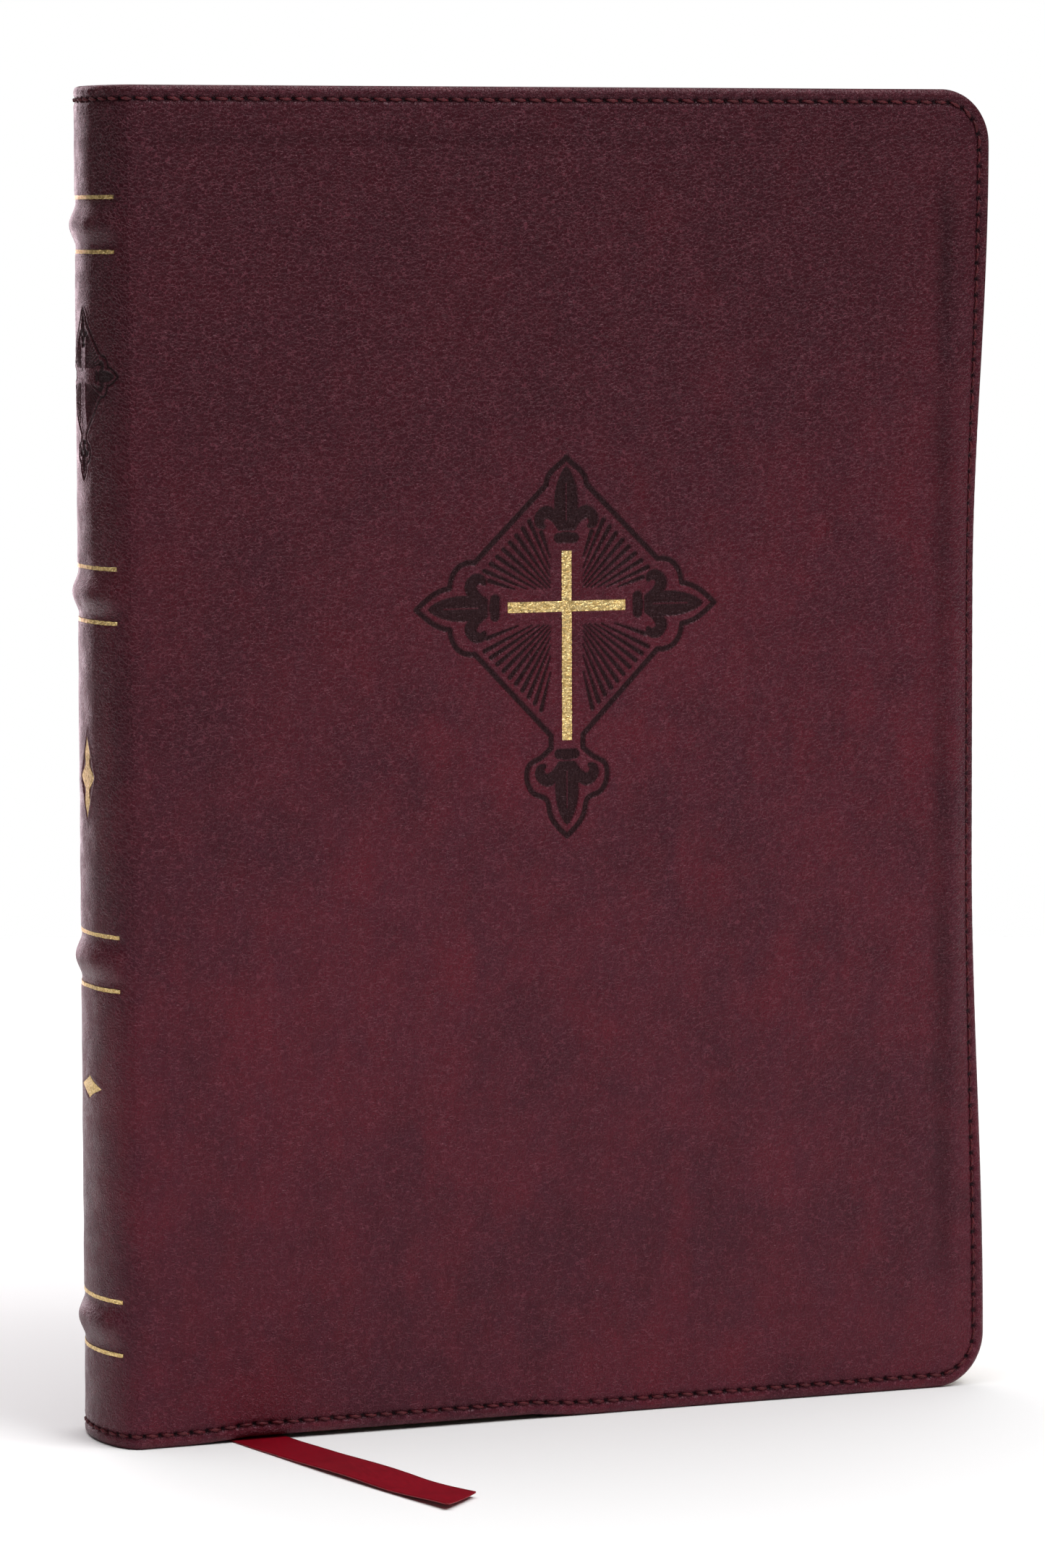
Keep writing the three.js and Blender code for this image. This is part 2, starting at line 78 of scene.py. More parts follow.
BAND_RISE = 1.0
SPINE_BULGE = HINGE_X - SPINE_LOW[0] - BAND_RISE
RULE_Z = sorted(box_mm(f"spine_gold_rule_{i}")[0][2] + 0.35 for i in range(1, 9))
BAND_Z = [(RULE_Z[i] + RULE_Z[i + 1]) / 2 for i in (0, 2, 4, 6)]
RULE_REACH = box_mm("spine_gold_rule_1")[1][1]
RULE_HALF = 0.35

CROSS_LOW, CROSS_HIGH = box_mm("front_foil_cross")
CROSS_HALF_BAR = 0.95
CROSS_S = (CROSS_LOW[0] + CROSS_HIGH[0]) / 2 - HINGE_X
CROSS_Z = 148.0

STITCH_INSET = 2.4
STITCH_PITCH = 2.95
SEAM = 1.3


# ---------------------------------------------------------------- camera

YAW = math.radians(21.82)
PITCH = math.radians(5.21)
ROLL = math.radians(-0.14)
CAMERA_DISTANCE = 1.133
AIM_RIGHT = -0.00165
AIM_UP = -0.00568
LENS = 142.6


def make_camera():
    look = Vector((math.sin(YAW) * math.cos(PITCH), math.cos(YAW) * math.cos(PITCH), -math.sin(PITCH)))
    level = Vector((math.cos(YAW), -math.sin(YAW), 0))
    lift = level.cross(look)
    right = math.cos(ROLL) * level + math.sin(ROLL) * lift
    up = math.cos(ROLL) * lift - math.sin(ROLL) * level
    middle = Vector((0, 0, HEIGHT * MM / 2))
    place = middle - look * CAMERA_DISTANCE + right * AIM_RIGHT + up * AIM_UP
    data = bpy.data.cameras.new("camera")
    data.lens = LENS
    data.sensor_width = 36
    data.clip_start = 0.05
    data.clip_end = 20
    camera = bpy.data.objects.new("camera", data)
    camera.matrix_world = Matrix((
        (right.x, up.x, -look.x, place.x),
        (right.y, up.y, -look.y, place.y),
        (right.z, up.z, -look.z, place.z),
        (0, 0, 0, 1)))
    bpy.context.scene.collection.objects.link(camera)
    bpy.context.scene.camera = camera


make_camera()


# ---------------------------------------------------------------- mesh helpers

def smoothstep(low, high, x):
    t = np.clip((x - low) / (high - low), 0, 1)
    return t * t * (3 - 2 * t)


def make_piece(name, points, faces, materials, attributes=None, face_slots=None, smooth=True):
    """A mesh object from points in millimetres."""
    mesh = bpy.data.meshes.new(name)
    mesh.from_pydata((np.asarray(points, float) * MM).tolist(), [], faces)
    for material in materials:
        mesh.materials.append(material)
    if face_slots is not None:
        mesh.polygons.foreach_set("material_index", np.asarray(face_slots, np.int32))
    for key, values in (attributes or {}).items():
        layer = mesh.attributes.new(key, "FLOAT", "POINT")
        layer.data.foreach_set("value", np.asarray(values, np.float32))
    mesh.polygons.foreach_set("use_smooth", np.full(len(mesh.polygons), smooth))
    mesh.update()
    piece = bpy.data.objects.new(name, mesh)
    bpy.context.scene.collection.objects.link(piece)
    return piece


def grid_faces(rows, columns, offset=0, wrap=False):
    """Quads of a grid of rows x columns points; wrap closes each row on itself."""
    faces = []
    last = columns if wrap else columns - 1
    for i in range(rows - 1):
        for j in range(last):
            k = (j + 1) % columns
            a = offset + i * columns
            faces.append((a + j, a + k, a + columns + k, a + columns + j))
    return faces


def adaptive_sheet(low, high, cell, levels, wanted):
    """Cells over a rectangle, split until none is larger than wanted(s, z) asks for.

    Returns the points as (s, z), the polygons, and the point numbers along the
    low-z, high-s and high-z edges, in order. Cells beside finer ones keep the finer
    cells' points on their edges, so the sheet has no cracks.
    """
    span = np.array(high) - np.array(low)
    counts = np.ceil(span / cell).astype(int)
    unit = 2 ** levels
    step = span / (counts * unit)
    cells = np.stack(np.meshgrid(np.arange(counts[0]), np.arange(counts[1]), indexing="ij"), -1)
    cells = cells.reshape(-1, 2) * unit
    size = unit
    leaves = []
    while True:
        if size == 1:
            leaves.append((1, cells))
            break
        need = np.full(len(cells), np.inf)
        for fs, fz in ((0.5, 0.5), (0, 0), (1, 0), (0, 1), (1, 1)):
            at = low + (cells + np.array((fs, fz)) * size) * step
            need = np.minimum(need, wanted(at[:, 0], at[:, 1]))
        split = need < size * step.max() * 0.99
        leaves.append((size, cells[~split]))
        size //= 2
        cells = np.concatenate([cells[split] + np.array(d) * size for d in ((0, 0), (1, 0), (0, 1), (1, 1))])
    used = np.zeros(counts * unit + 1, bool)
    for size, group in leaves:
        for d in ((0, 0), (1, 0), (0, 1), (1, 1)):
            used[group[:, 0] + d[0] * size, group[:, 1] + d[1] * size] = True
    number = np.full(used.shape, -1)
    spots = np.argwhere(used)
    number[used] = np.arange(len(spots))
    faces = []
    for size, group in leaves:
        for i, j in group:
            if size == 1:
                faces.append((number[i, j], number[i + 1, j], number[i + 1, j + 1], number[i, j + 1]))
                continue
            ring = np.concatenate([
                number[i:i + size, j], number[i + size, j:j + size],
                number[i + size:i:-1, j + size], number[i, j + size:j:-1]])
            faces.append(tuple(ring[ring >= 0]))
    points = low + spots * step
    edges = [line[line >= 0] for line in (number[:, 0], number[-1, :], number[:, -1])]
    return points, faces, edges


def round_corners(points, s_high, z_low, z_high, radius):
    """Bends a sheet's square fore corners into quarter circles of the given radius."""
    points = points.copy()
    for z_edge, sign in ((z_low, -1), (z_high, 1)):
        u = (points[:, 0] - (s_high - radius)) / radius
        v = (points[:, 1] - (z_edge - sign * radius)) * sign / radius
        inside = (u > 0) & (v > 0)
        a, b = u[inside], v[inside]
        points[inside, 0] = s_high - radius + radius * a * np.sqrt(1 - b * b / 2)
        points[inside, 1] = z_edge - sign * radius + sign * radius * b * np.sqrt(1 - a * a / 2)
    return points


def outline_distance(s, z):
    """Distance in from a cover's rounded outline, and the outward direction there."""
    cs = FORE_S - CORNER_R
    ds = np.maximum(s - cs, 0)
    dz = np.where(z > HEIGHT / 2, z - (HEIGHT - CORNER_R), CORNER_R - z)
    sign = np.where(z > HEIGHT / 2, 1.0, -1.0)
    dzp = np.maximum(dz, 0)
    reach = np.hypot(ds, dzp)
    corner = (ds > 0) & (dzp > 0)
    flat_s, flat_z = FORE_S - s, np.where(z > HEIGHT / 2, HEIGHT - z, z)
    distance = np.where(corner, CORNER_R - reach, np.minimum(flat_s, flat_z))
    safe = np.maximum(reach, 1e-9)
    on_fore = flat_s < flat_z
    normal_s = np.where(corner, ds / safe, np.where(on_fore, 1.0, 0.0))
    normal_z = np.where(corner, sign * dzp / safe, np.where(on_fore, 0.0, sign))
    return distance, normal_s, normal_z


# ---------------------------------------------------------------- where the leather lies

ARC_ANGLES = np.linspace(-math.pi / 2, math.pi / 2, 2001)
ARC_STEP = np.hypot(SPINE_BULGE * np.sin(ARC_ANGLES), HALF * np.cos(ARC_ANGLES))
ARC_LENGTHS = np.concatenate([[0], np.cumsum((ARC_STEP[1:] + ARC_STEP[:-1]) / 2 * np.diff(ARC_ANGLES))])
SPINE_HALF_LENGTH = ARC_LENGTHS[-1] / 2


def on_spine(u, z, depth):
    """A point on the rounded back: u is the length round the back from its middle line."""
    angle = np.interp(u + SPINE_HALF_LENGTH, ARC_LENGTHS, ARC_ANGLES)
    nx, ny = -np.cos(angle) / SPINE_BULGE, np.sin(angle) / HALF
    size = np.hypot(nx, ny)
    x = HINGE_X - SPINE_BULGE * np.cos(angle) - depth * nx / size
    y = HALF * np.sin(angle) - depth * ny / size
    return np.stack([x, y, z + 0 * u], -1)


FORE_BEND_START = TEXT_HIGH[0] - HINGE_X + 0.3
FORE_BEND_ARC = 4.0
FORE_BEND = math.radians(34)
ARCH_START, ARCH_END, ARCH_RISE = 6.0, 88.0, 0.8


def fore_bend_angle(z, side):
    """How far the unsupported fore margin has relaxed inward; the stiff corners stay nearly flat."""
    middle = smoothstep(12, 100, z) * (1 - smoothstep(150, 230, z))
    return FORE_BEND * (0.14 + 0.86 * middle) * (1.0 if side == FRONT else 0.6)


def cover_sway(s, z, side):
    """Slow outward waves of a soft cover, fading to nothing at the hinge."""
    wave = 0.5 + 0.5 * np.sin(s * 0.043 + z * 0.019 + side) * np.cos(z * 0.031 - s * 0.012)
    flare = smoothstep(95, 166, s) * (smoothstep(160, 241, z) + 0.6 * (1 - smoothstep(0, 60, z)))
    return (0.3 * wave + 0.8 * flare) * smoothstep(4, 60, s)


def on_cover(s, z, depth, side):
    """A point of a cover: s runs from the hinge line to the fore edge, depth in from the outer face."""
    s, z, depth = (a.astype(float) for a in np.broadcast_arrays(s, z, depth))
    behind = on_spine(side * (SPINE_HALF_LENGTH + np.minimum(s, 0)), z, depth)
    angle = fore_bend_angle(z, side)
    past = np.maximum(s - FORE_BEND_START, 0)
    turning = np.minimum(past, FORE_BEND_ARC)
    radius = FORE_BEND_ARC / angle
    tilt = turning / radius
    straight = past - turning
    x = HINGE_X + np.minimum(s, FORE_BEND_START) + radius * np.sin(tilt) + straight * np.cos(angle)
    inward = radius * (1 - np.cos(tilt)) + straight * np.sin(angle) + depth * np.cos(tilt)
    y = side * (HALF - inward + cover_sway(s, z, side))
    x = x - depth * np.sin(tilt)
    height = z
    if side == FRONT:
        t = np.clip((s - ARCH_START) / (ARCH_END - ARCH_START), 0, 1)
        lift = ARCH_RISE * np.minimum(1, 4 * np.sin(math.pi * t) ** 2)
        height = z + lift * (1 - smoothstep(0, 14, z))
    ahead = np.stack([x, y, height], -1)
    return np.where((s < 0)[..., None], behind, ahead)


def lumps(a, b, wavelength, seed, count=14):
    """Smooth unevenness between about -1 and 1 with roughly the given wavelength."""
    rng = np.random.default_rng(seed)
    total = 0
    for _ in range(count):
        turn, phase = rng.uniform(0, 2 * math.pi, 2)
        rate = 2 * math.pi / (wavelength * rng.uniform(0.7, 1.5))
        total = total + np.sin((a * math.cos(turn) + b * math.sin(turn)) * rate + phase)
    return total / math.sqrt(count)


# ---------------------------------------------------------------- stitched margin

STITCH_R = CORNER_R - STITCH_INSET
CORNER_S = FORE_S - CORNER_R
SIDE_RUN = HEIGHT - 2 * CORNER_R
CORNER_RUN = STITCH_R * math.pi / 2
STITCH_RUN = 2 * CORNER_S + 2 * CORNER_RUN + SIDE_RUN
STITCH_COUNT = round(STITCH_RUN / STITCH_PITCH)
COVER_PITCH = STITCH_RUN / STITCH_COUNT
SPINE_STITCHES = round(2 * SPINE_HALF_LENGTH / STITCH_PITCH)
SPINE_PITCH = 2 * SPINE_HALF_LENGTH / SPINE_STITCHES


def stitch_station(s, z):
    """How far along a cover's stitch line the nearest point of that line is, from the tail hinge."""
    low = z < HEIGHT / 2
    ds = s - CORNER_S
    dz = np.where(low, z - CORNER_R, z - (HEIGHT - CORNER_R))
    angle = np.arctan2(dz, np.maximum(ds, 1e-6))
    to_fore = CORNER_S + CORNER_RUN
    along_fore = to_fore + z - CORNER_R
    corner_low = CORNER_S + STITCH_R * (angle + math.pi / 2)
    corner_high = to_fore + SIDE_RUN + STITCH_R * angle
    head = to_fore + SIDE_RUN + CORNER_RUN + CORNER_S - s
    in_corner = (ds > 0) & np.where(low, dz < 0, dz > 0)
    flat = np.where((FORE_S - s) < np.where(low, z, HEIGHT - z), along_fore, np.where(low, s, head))
    return np.where(in_corner, np.where(low, corner_low, corner_high), flat)


def stitch_place(station):
    """The point (s, z) of a cover's stitch line at a station, and its direction there."""
    ends = np.cumsum([0, CORNER_S, CORNER_RUN, SIDE_RUN, CORNER_RUN, CORNER_S])
    at = np.clip(np.searchsorted(ends, station, side="right") - 1, 0, 4)
    t = station - ends[at]
    turn = np.where(at == 1, t / STITCH_R, np.where(at > 1, math.pi / 2, 0))
    turn = turn + np.where(at == 3, t / STITCH_R, np.where(at > 3, math.pi / 2, 0))
    arc_z = np.where(at == 1, CORNER_R, HEIGHT - CORNER_R)
    s = np.select([at == 0, at == 2, at == 4], [t, FORE_S - STITCH_INSET + 0 * t, CORNER_S - t],
                  CORNER_S + STITCH_R * np.sin(turn))
    z = np.select([at == 0, at == 2, at == 4],
                  [STITCH_INSET + 0 * t, CORNER_R + t, HEIGHT - STITCH_INSET + 0 * t],
                  arc_z - STITCH_R * np.cos(turn))
    return s, z, np.cos(turn), np.sin(turn)


def stitch_relief(inset, station, pitch):
    """Height of the leather beside a line of stitches, and how deep in a needle hole each point is."""
    across = inset - STITCH_INSET
    to_hole = (station / pitch + 0.5) % 1 - 0.5
    hole = np.exp(-(across / 0.44) ** 2 - (to_hole * pitch / 0.50) ** 2)
    groove = np.exp(-(across / 0.60) ** 2)
    puff = np.exp(-((np.abs(across) - 1.25) / 0.5) ** 2) * (0.6 + 0.4 * np.cos(2 * math.pi * to_hole))
    return 0.09 * puff - 0.28 * groove - 0.42 * hole, hole


# ---------------------------------------------------------------- debossed emblem

def cubic(a, b, c, d, steps=9):
    t = np.linspace(0, 1, steps)[:, None]
    a, b, c, d = (np.array(p, float) for p in (a, b, c, d))
    return (1 - t) ** 3 * a + 3 * t * (1 - t) ** 2 * b + 3 * t * t * (1 - t) * c + t ** 3 * d


def catmull(points, steps=5):
    points = np.array(points, float)
    padded = np.vstack([2 * points[0] - points[1], points, 2 * points[-1] - points[-2]])
    out = []
    for i in range(len(points) - 1):
        p = padded[i:i + 4]
        t = np.linspace(0, 1, steps, endpoint=False)[:, None]
        out.append(0.5 * (2 * p[1] + (p[2] - p[0]) * t + (2 * p[0] - 5 * p[1] + 4 * p[2] - p[3]) * t * t
                          + (3 * p[1] - p[0] - 3 * p[2] + p[3]) * t ** 3))
    return np.vstack(out + [points[-1:]])


def frame_outline():
    """A lozenge frame with pointed ends at its sides and top and a lobed drop at its foot."""
    top = cubic((0, 26.8), (1.6, 24.9), (3.9, 24.4), (3.9, 21.9))
    side = np.vstack([cubic((17.8, 8.2), (20.6, 8.6), (22.4, 6.6), (22.6, 3.7)),
                      cubic((22.6, 3.7), (25.4, 3.4), (27.2, 1.6), (29.0, 0))])
    lower_side = side[::-1] * (1, -1)
    foot = catmull([(3.1, -25.6), (5.0, -27.2), (7.4, -28.6), (7.8, -31.2), (6.6, -33.6), (4.0, -34.9),
                    (3.2, -37.8), (1.8, -39.9), (0, -41.6)])
    right = np.vstack([top, side, lower_side, [(3.1, -23.3)], foot])
    return np.vstack([right, right[::-1] * (-1, 1)])


def strokes_along(points, radii):
    """Tapered strokes joining points: rows of x0, y0, r0, x1, y1, r1."""
    points = np.asarray(points, float)
    radii = np.broadcast_to(np.asarray(radii, float), len(points))
    return np.hstack([points[:-1], radii[:-1, None], points[1:], radii[1:, None]])


def flower_strokes():
    """A plain three-petalled heraldic flower standing on a collar, its foot at the origin."""
    side = catmull([(1.1, 1.9), (2.2, 3.7), (3.8, 4.7), (5.1, 3.9), (5.2, 2.6), (4.5, 2.1)], 4)
    side_radii = np.interp(np.linspace(0, 1, len(side)), [0, 0.35, 0.7, 1], [0.7, 1.15, 0.95, 0.45])
    petal_z = np.linspace(2.3, 12.8, 14)
    swell = np.sin(math.pi * np.linspace(0.22, 1, 14) ** 1.05) ** 0.8
    petal = np.stack([0 * petal_z, petal_z], -1)
    flip = np.array((-1, 1))
    return np.vstack([
        strokes_along(petal, 0.1 + 2.2 * swell), strokes_along(side, side_radii),
        strokes_along(side * flip, side_radii), strokes_along([(-1.5, 0), (1.5, 0)], 0.92)])


def turned(strokes, angle, at):
    c, s = math.cos(angle), math.sin(angle)
    out = strokes.copy()
    for k in (0, 3):
        x, y = strokes[:, k], strokes[:, k + 1]
        out[:, k], out[:, k + 1] = c * x - s * y + at[0], s * x + c * y + at[1]
    return out


def ray_strokes():
    """Rays spreading from the crossing of the arms, kept clear of both arms."""
    rays = []
    for up, reach, first, count in ((1, 22.6, 7.2, 8), (-1, 23.6, 5.0, 10)):
        ends = [(x, reach - x) for x in np.linspace(first, 15.9, count)]
        ends += [(4.9, 13.4), (15.0, 4.9)] if up > 0 else [(15.4, 5.4)]
        for x, y in ends:
            start = max(3.2 / x, 3.3 / y)
            for turn in (1, -1):
                line = np.array([(x * start, y * start), (x, y)]) * (turn, up)
                rays.append(strokes_along(line, (0.11, 0.40)))
    return np.vstack(rays)


FRAME_OUTLINE = frame_outline()
FLOWER = flower_strokes()
EMBLEM = np.vstack([
    strokes_along(FRAME_OUTLINE, 0.46), ray_strokes(),
    turned(FLOWER, 0, (0, 12.3)), turned(FLOWER, math.pi / 2, (-13.9, 0)),
    turned(FLOWER, -math.pi / 2, (13.9, 0)), turned(FLOWER, math.pi, (0, -26.7))])
EMBLEM_LOW, EMBLEM_HIGH = FRAME_OUTLINE.min(0) - 1, FRAME_OUTLINE.max(0) + 1
PETAL_VEINS = np.vstack([
    turned(strokes_along(vein, 0.12), turn, at)
    for vein in ([(0, 3.2), (0, 9.8)], [(-2.6, 1.22), (2.6, 1.22)])
    for turn, at in ((0, (0, 12.3)), (math.pi / 2, (-13.9, 0)), (-math.pi / 2, (13.9, 0)),
                     (math.pi, (0, -26.7)))])


def stroke_distance(points, strokes):
    best = np.full(len(points), 99.0)
    for x0, y0, r0, x1, y1, r1 in strokes:
        along = np.array((x1 - x0, y1 - y0))
        rel = points - (x0, y0)
        t = np.clip(rel @ along / max(along @ along, 1e-9), 0, 1)
        gap = np.hypot(*(rel - t[:, None] * along).T) - (r0 + (r1 - r0) * t)
        best = np.minimum(best, gap)
    return best


def emblem_distance(u, v):
    """Distance from the emblem's printed lines: negative inside them."""
    points = np.stack([u, v], -1).reshape(-1, 2)
    distance = np.full(len(points), 99.0)
    near = ((points > EMBLEM_LOW) & (points < EMBLEM_HIGH)).all(-1)
    inner = points[near]
    distance[near] = np.maximum(stroke_distance(inner, EMBLEM), -stroke_distance(inner, PETAL_VEINS))
    return distance.reshape(np.shape(u))


def cross_distance(u, v):
    low, high = CROSS_LOW[2] - CROSS_Z, CROSS_HIGH[2] - CROSS_Z
    upright = np.maximum(np.abs(u) - CROSS_HALF_BAR, np.maximum(low - v, v - high))
    arm = np.maximum(np.abs(v) - CROSS_HALF_BAR, np.abs(u) - (CROSS_HIGH[0] - CROSS_LOW[0]) / 2)
    return np.minimum(upright, arm)


def press(distance, depth, soft=0.16):
    """Height of a pressed-in shape with a faint lip round it."""
    lip = 0.05 * np.exp(-((distance - 0.42) / 0.22) ** 2)
    return lip - depth * (1 - smoothstep(-soft, soft, distance))


# ---------------------------------------------------------------- materials

def new_material(name):
    material = bpy.data.materials.new(name)
    material.use_nodes = True
    tree = material.node_tree
    return material, tree, tree.nodes["Principled BSDF"]


def node(tree, kind, inputs=None, **settings):
    made = tree.nodes.new("ShaderNode" + kind)
    for key, value in settings.items():
        setattr(made, key, value)
    for key, value in (inputs or {}).items():
        if isinstance(value, bpy.types.NodeSocket):
            tree.links.new(value, made.inputs[key])
        else:
            made.inputs[key].default_value = value
    return made


def place(tree, stretch=(1, 1, 1)):
    coordinates = node(tree, "TexCoord").outputs["Object"]
    return node(tree, "Mapping", {"Vector": coordinates, "Scale": stretch}).outputs["Vector"]


def noise(tree, vector, scale, detail=2.0, rough=0.5):
    inputs = {"Vector": vector, "Scale": scale, "Detail": detail, "Roughness": rough}
    return node(tree, "TexNoise", inputs).outputs["Fac"]


def ramp(tree, value, low, high, to_low=0.0, to_high=1.0):
    inputs = {"Value": value, "From Min": low, "From Max": high, "To Min": to_low, "To Max": to_high}
    return node(tree, "MapRange", inputs, interpolation_type="SMOOTHSTEP").outputs["Result"]


def mix(tree, factor, a, b, blend="MIX"):
    made = node(tree, "Mix", data_type="RGBA", blend_type=blend)
    for socket, value in ((made.inputs[0], factor), (made.inputs[6], a), (made.inputs[7], b)):
        if isinstance(value, bpy.types.NodeSocket):
            tree.links.new(value, socket)
        else:
            socket.default_value = value
    return made.outputs[2]


def combine(tree, operation, a, b):
    made = node(tree, "Math", operation=operation)
    for socket, value in ((made.inputs[0], a), (made.inputs[1], b)):
        if isinstance(value, bpy.types.NodeSocket):
            tree.links.new(value, socket)
        else:
            socket.default_value = value
    return made.outputs[0]


def attribute(tree, key):
    return node(tree, "Attribute", attribute_name=key).outputs["Fac"]


def bump(tree, height, distance, strength=1.0):
    values = {"Height": height, "Distance": distance, "Strength": strength}
    return node(tree, "Bump", values).outputs["Normal"]


def rgb(r, g, b):
    return (r, g, b, 1.0)


def grain_height(tree):
    """Pebbled imitation leather: small irregular cells, finer wrinkles and a few longer creases."""
    spot = place(tree)
    drift = node(tree, "TexNoise", {"Vector": spot, "Scale": 900.0, "Detail": 2.0}).outputs["Color"]
    shift = node(tree, "VectorMath", {0: drift, 1: (0.0011, 0.0011, 0.0011)}, operation="MULTIPLY").outputs[0]
    bent = node(tree, "VectorMath", {0: spot, 1: shift}, operation="ADD").outputs[0]
    cells = node(tree, "TexVoronoi", {"Vector": bent, "Scale": 1500.0, "Randomness": 1.0},
                 feature="DISTANCE_TO_EDGE").outputs["Distance"]
    creases = node(tree, "TexVoronoi", {"Vector": bent, "Scale": 520.0, "Randomness": 1.0},
                   feature="DISTANCE_TO_EDGE").outputs["Distance"]
    pebble = ramp(tree, cells, 0.0, 0.16)
    crease = ramp(tree, creases, 0.0, 0.10)
    fine = noise(tree, spot, 3600.0, 3.0, 0.6)
    height = combine(tree, "ADD", combine(tree, "MULTIPLY", pebble, -0.62),
                     combine(tree, "MULTIPLY", crease, 0.22))
    return combine(tree, "ADD", height, combine(tree, "MULTIPLY", fine, 0.35)), pebble, spot


def leather_material(name):
    material, tree, shader = new_material(name)
    height, pebble, spot = grain_height(tree)
    broad = ramp(tree, noise(tree, spot, 40.0, 6.0, 0.68), 0.36, 0.64)
    patch = ramp(tree, noise(tree, place(tree, (1.0, 1.0, 0.45)), 260.0, 5.0, 0.65), 0.30, 0.72)
    fleck = noise(tree, spot, 1100.0, 3.0, 0.6)
    light = rgb(0.094, 0.0105, 0.0185)
    dark = rgb(0.052, 0.0078, 0.0138)
    tone = mix(tree, broad, dark, light)
    # Painted shade: rise, across and uneven below make the colour darker towards the top of each piece and
    # towards the spine side, standing in for less light falling there.
    rise = node(tree, "SeparateXYZ", {0: spot}).outputs["Z"]
    across = combine(tree, "MULTIPLY", node(tree, "SeparateXYZ", {0: spot}).outputs["X"], -0.35)
    uneven = combine(tree, "ADD", rise, combine(tree, "MULTIPLY", noise(tree, spot, 12.0, 3.0), 0.09))
    uneven = combine(tree, "ADD", uneven, across)
    tone = mix(tree, combine(tree, "MULTIPLY", patch, 0.50), tone, rgb(0.066, 0.0125, 0.024))
    glaze = ramp(tree, noise(tree, place(tree, (1.0, 1.0, 0.6)), 75.0, 4.0, 0.6), 0.50, 0.70, 0.0, 0.55)
    tone = mix(tree, glaze, tone, rgb(0.118, 0.0105, 0.0190))
    # Painted shade: darker towards the top and the spine side.
    tone = mix(tree, ramp(tree, uneven, 0.14, 0.29, 0.0, 0.78), tone, rgb(0.034, 0.0062, 0.0098))
    # Painted highlight: the raised ridges between the grain cells are lightened in the colour itself, where
    # light catches them.
    painted_grain_highlight = combine(tree, "MULTIPLY", combine(tree, "SUBTRACT", 1.0, pebble),
                     ramp(tree, fleck, 0.35, 0.65, 0.08, 0.46))
    tone = mix(tree, painted_grain_highlight, tone, rgb(0.185, 0.046, 0.066))
    wear = combine(tree, "MULTIPLY", attribute(tree, "wear"),
                   ramp(tree, noise(tree, spot, 400.0, 4.0), 0.45, 0.7))
    tone = mix(tree, combine(tree, "MULTIPLY", wear, 0.5), tone, rgb(0.135, 0.042, 0.047))
    ink = attribute(tree, "ink")
    tone = mix(tree, combine(tree, "MULTIPLY", ink, 0.93), tone, rgb(0.0125, 0.0052, 0.0054))
    # Painted shade: near-black in the needle holes, and darker along the fore crease and the head ridge.
    tone = mix(tree, attribute(tree, "painted_shade"), tone, rgb(0.006, 0.002, 0.003))
    gloss = ramp(tree, noise(tree, spot, 300.0, 3.0), 0.3, 0.7, 0.29, 0.42)
    gloss = combine(tree, "ADD", gloss, combine(tree, "MULTIPLY", ink, 0.08))
    tree.links.new(tone, shader.inputs["Base Color"])
    tree.links.new(gloss, shader.inputs["Roughness"])
    tree.links.new(bump(tree, height, 0.00017, 1.0), shader.inputs["Normal"])
    shader.inputs["Specular IOR Level"].default_value = 0.26
    shader.inputs["Specular Tint"].default_value = rgb(1.0, 0.60, 0.70)
    return material


def foil_material():
    material, tree, shader = new_material("stamped_gold_foil")
    height, pebble, spot = grain_height(tree)
    worn = ramp(tree, noise(tree, spot, 3800.0, 3.0, 0.6), 0.56, 0.66)
    tone = mix(tree, ramp(tree, noise(tree, spot, 2400.0, 3.0), 0.35, 0.65),
               rgb(0.70, 0.46, 0.165), rgb(1.0, 0.76, 0.36))
    missing = combine(tree, "MULTIPLY", worn, 0.40)
    tone = mix(tree, missing, tone, rgb(0.16, 0.07, 0.03))
    metal = combine(tree, "SUBTRACT", 0.92, missing)
    tree.links.new(tone, shader.inputs["Base Color"])
    tree.links.new(metal, shader.inputs["Metallic"])
    tree.links.new(ramp(tree, noise(tree, spot, 900.0, 3.0), 0.3, 0.7, 0.30, 0.48),
                   shader.inputs["Roughness"])
    tree.links.new(bump(tree, height, 0.00009, 0.9), shader.inputs["Normal"])
    return material


def thread_material(name, light, dark, turns):
    """Twisted thread; `turns` is how many fibres cross a metre of it."""
    material, tree, shader = new_material(name)
    spot = place(tree)
    fibre = noise(tree, place(tree, (1.0, 1.0, 1.6)), turns, 3.0, 0.6)
    tone = mix(tree, ramp(tree, fibre, 0.35, 0.65), dark, light)
    tone = mix(tree, ramp(tree, noise(tree, spot, 500.0), 0.45, 0.7, 0.0, 0.35), tone, dark)
    tree.links.new(tone, shader.inputs["Base Color"])
    tree.links.new(ramp(tree, fibre, 0.3, 0.7, 0.48, 0.66), shader.inputs["Roughness"])
    tree.links.new(bump(tree, fibre, 0.00008, 0.8), shader.inputs["Normal"])
    shader.inputs["Specular IOR Level"].default_value = 0.25
    return material


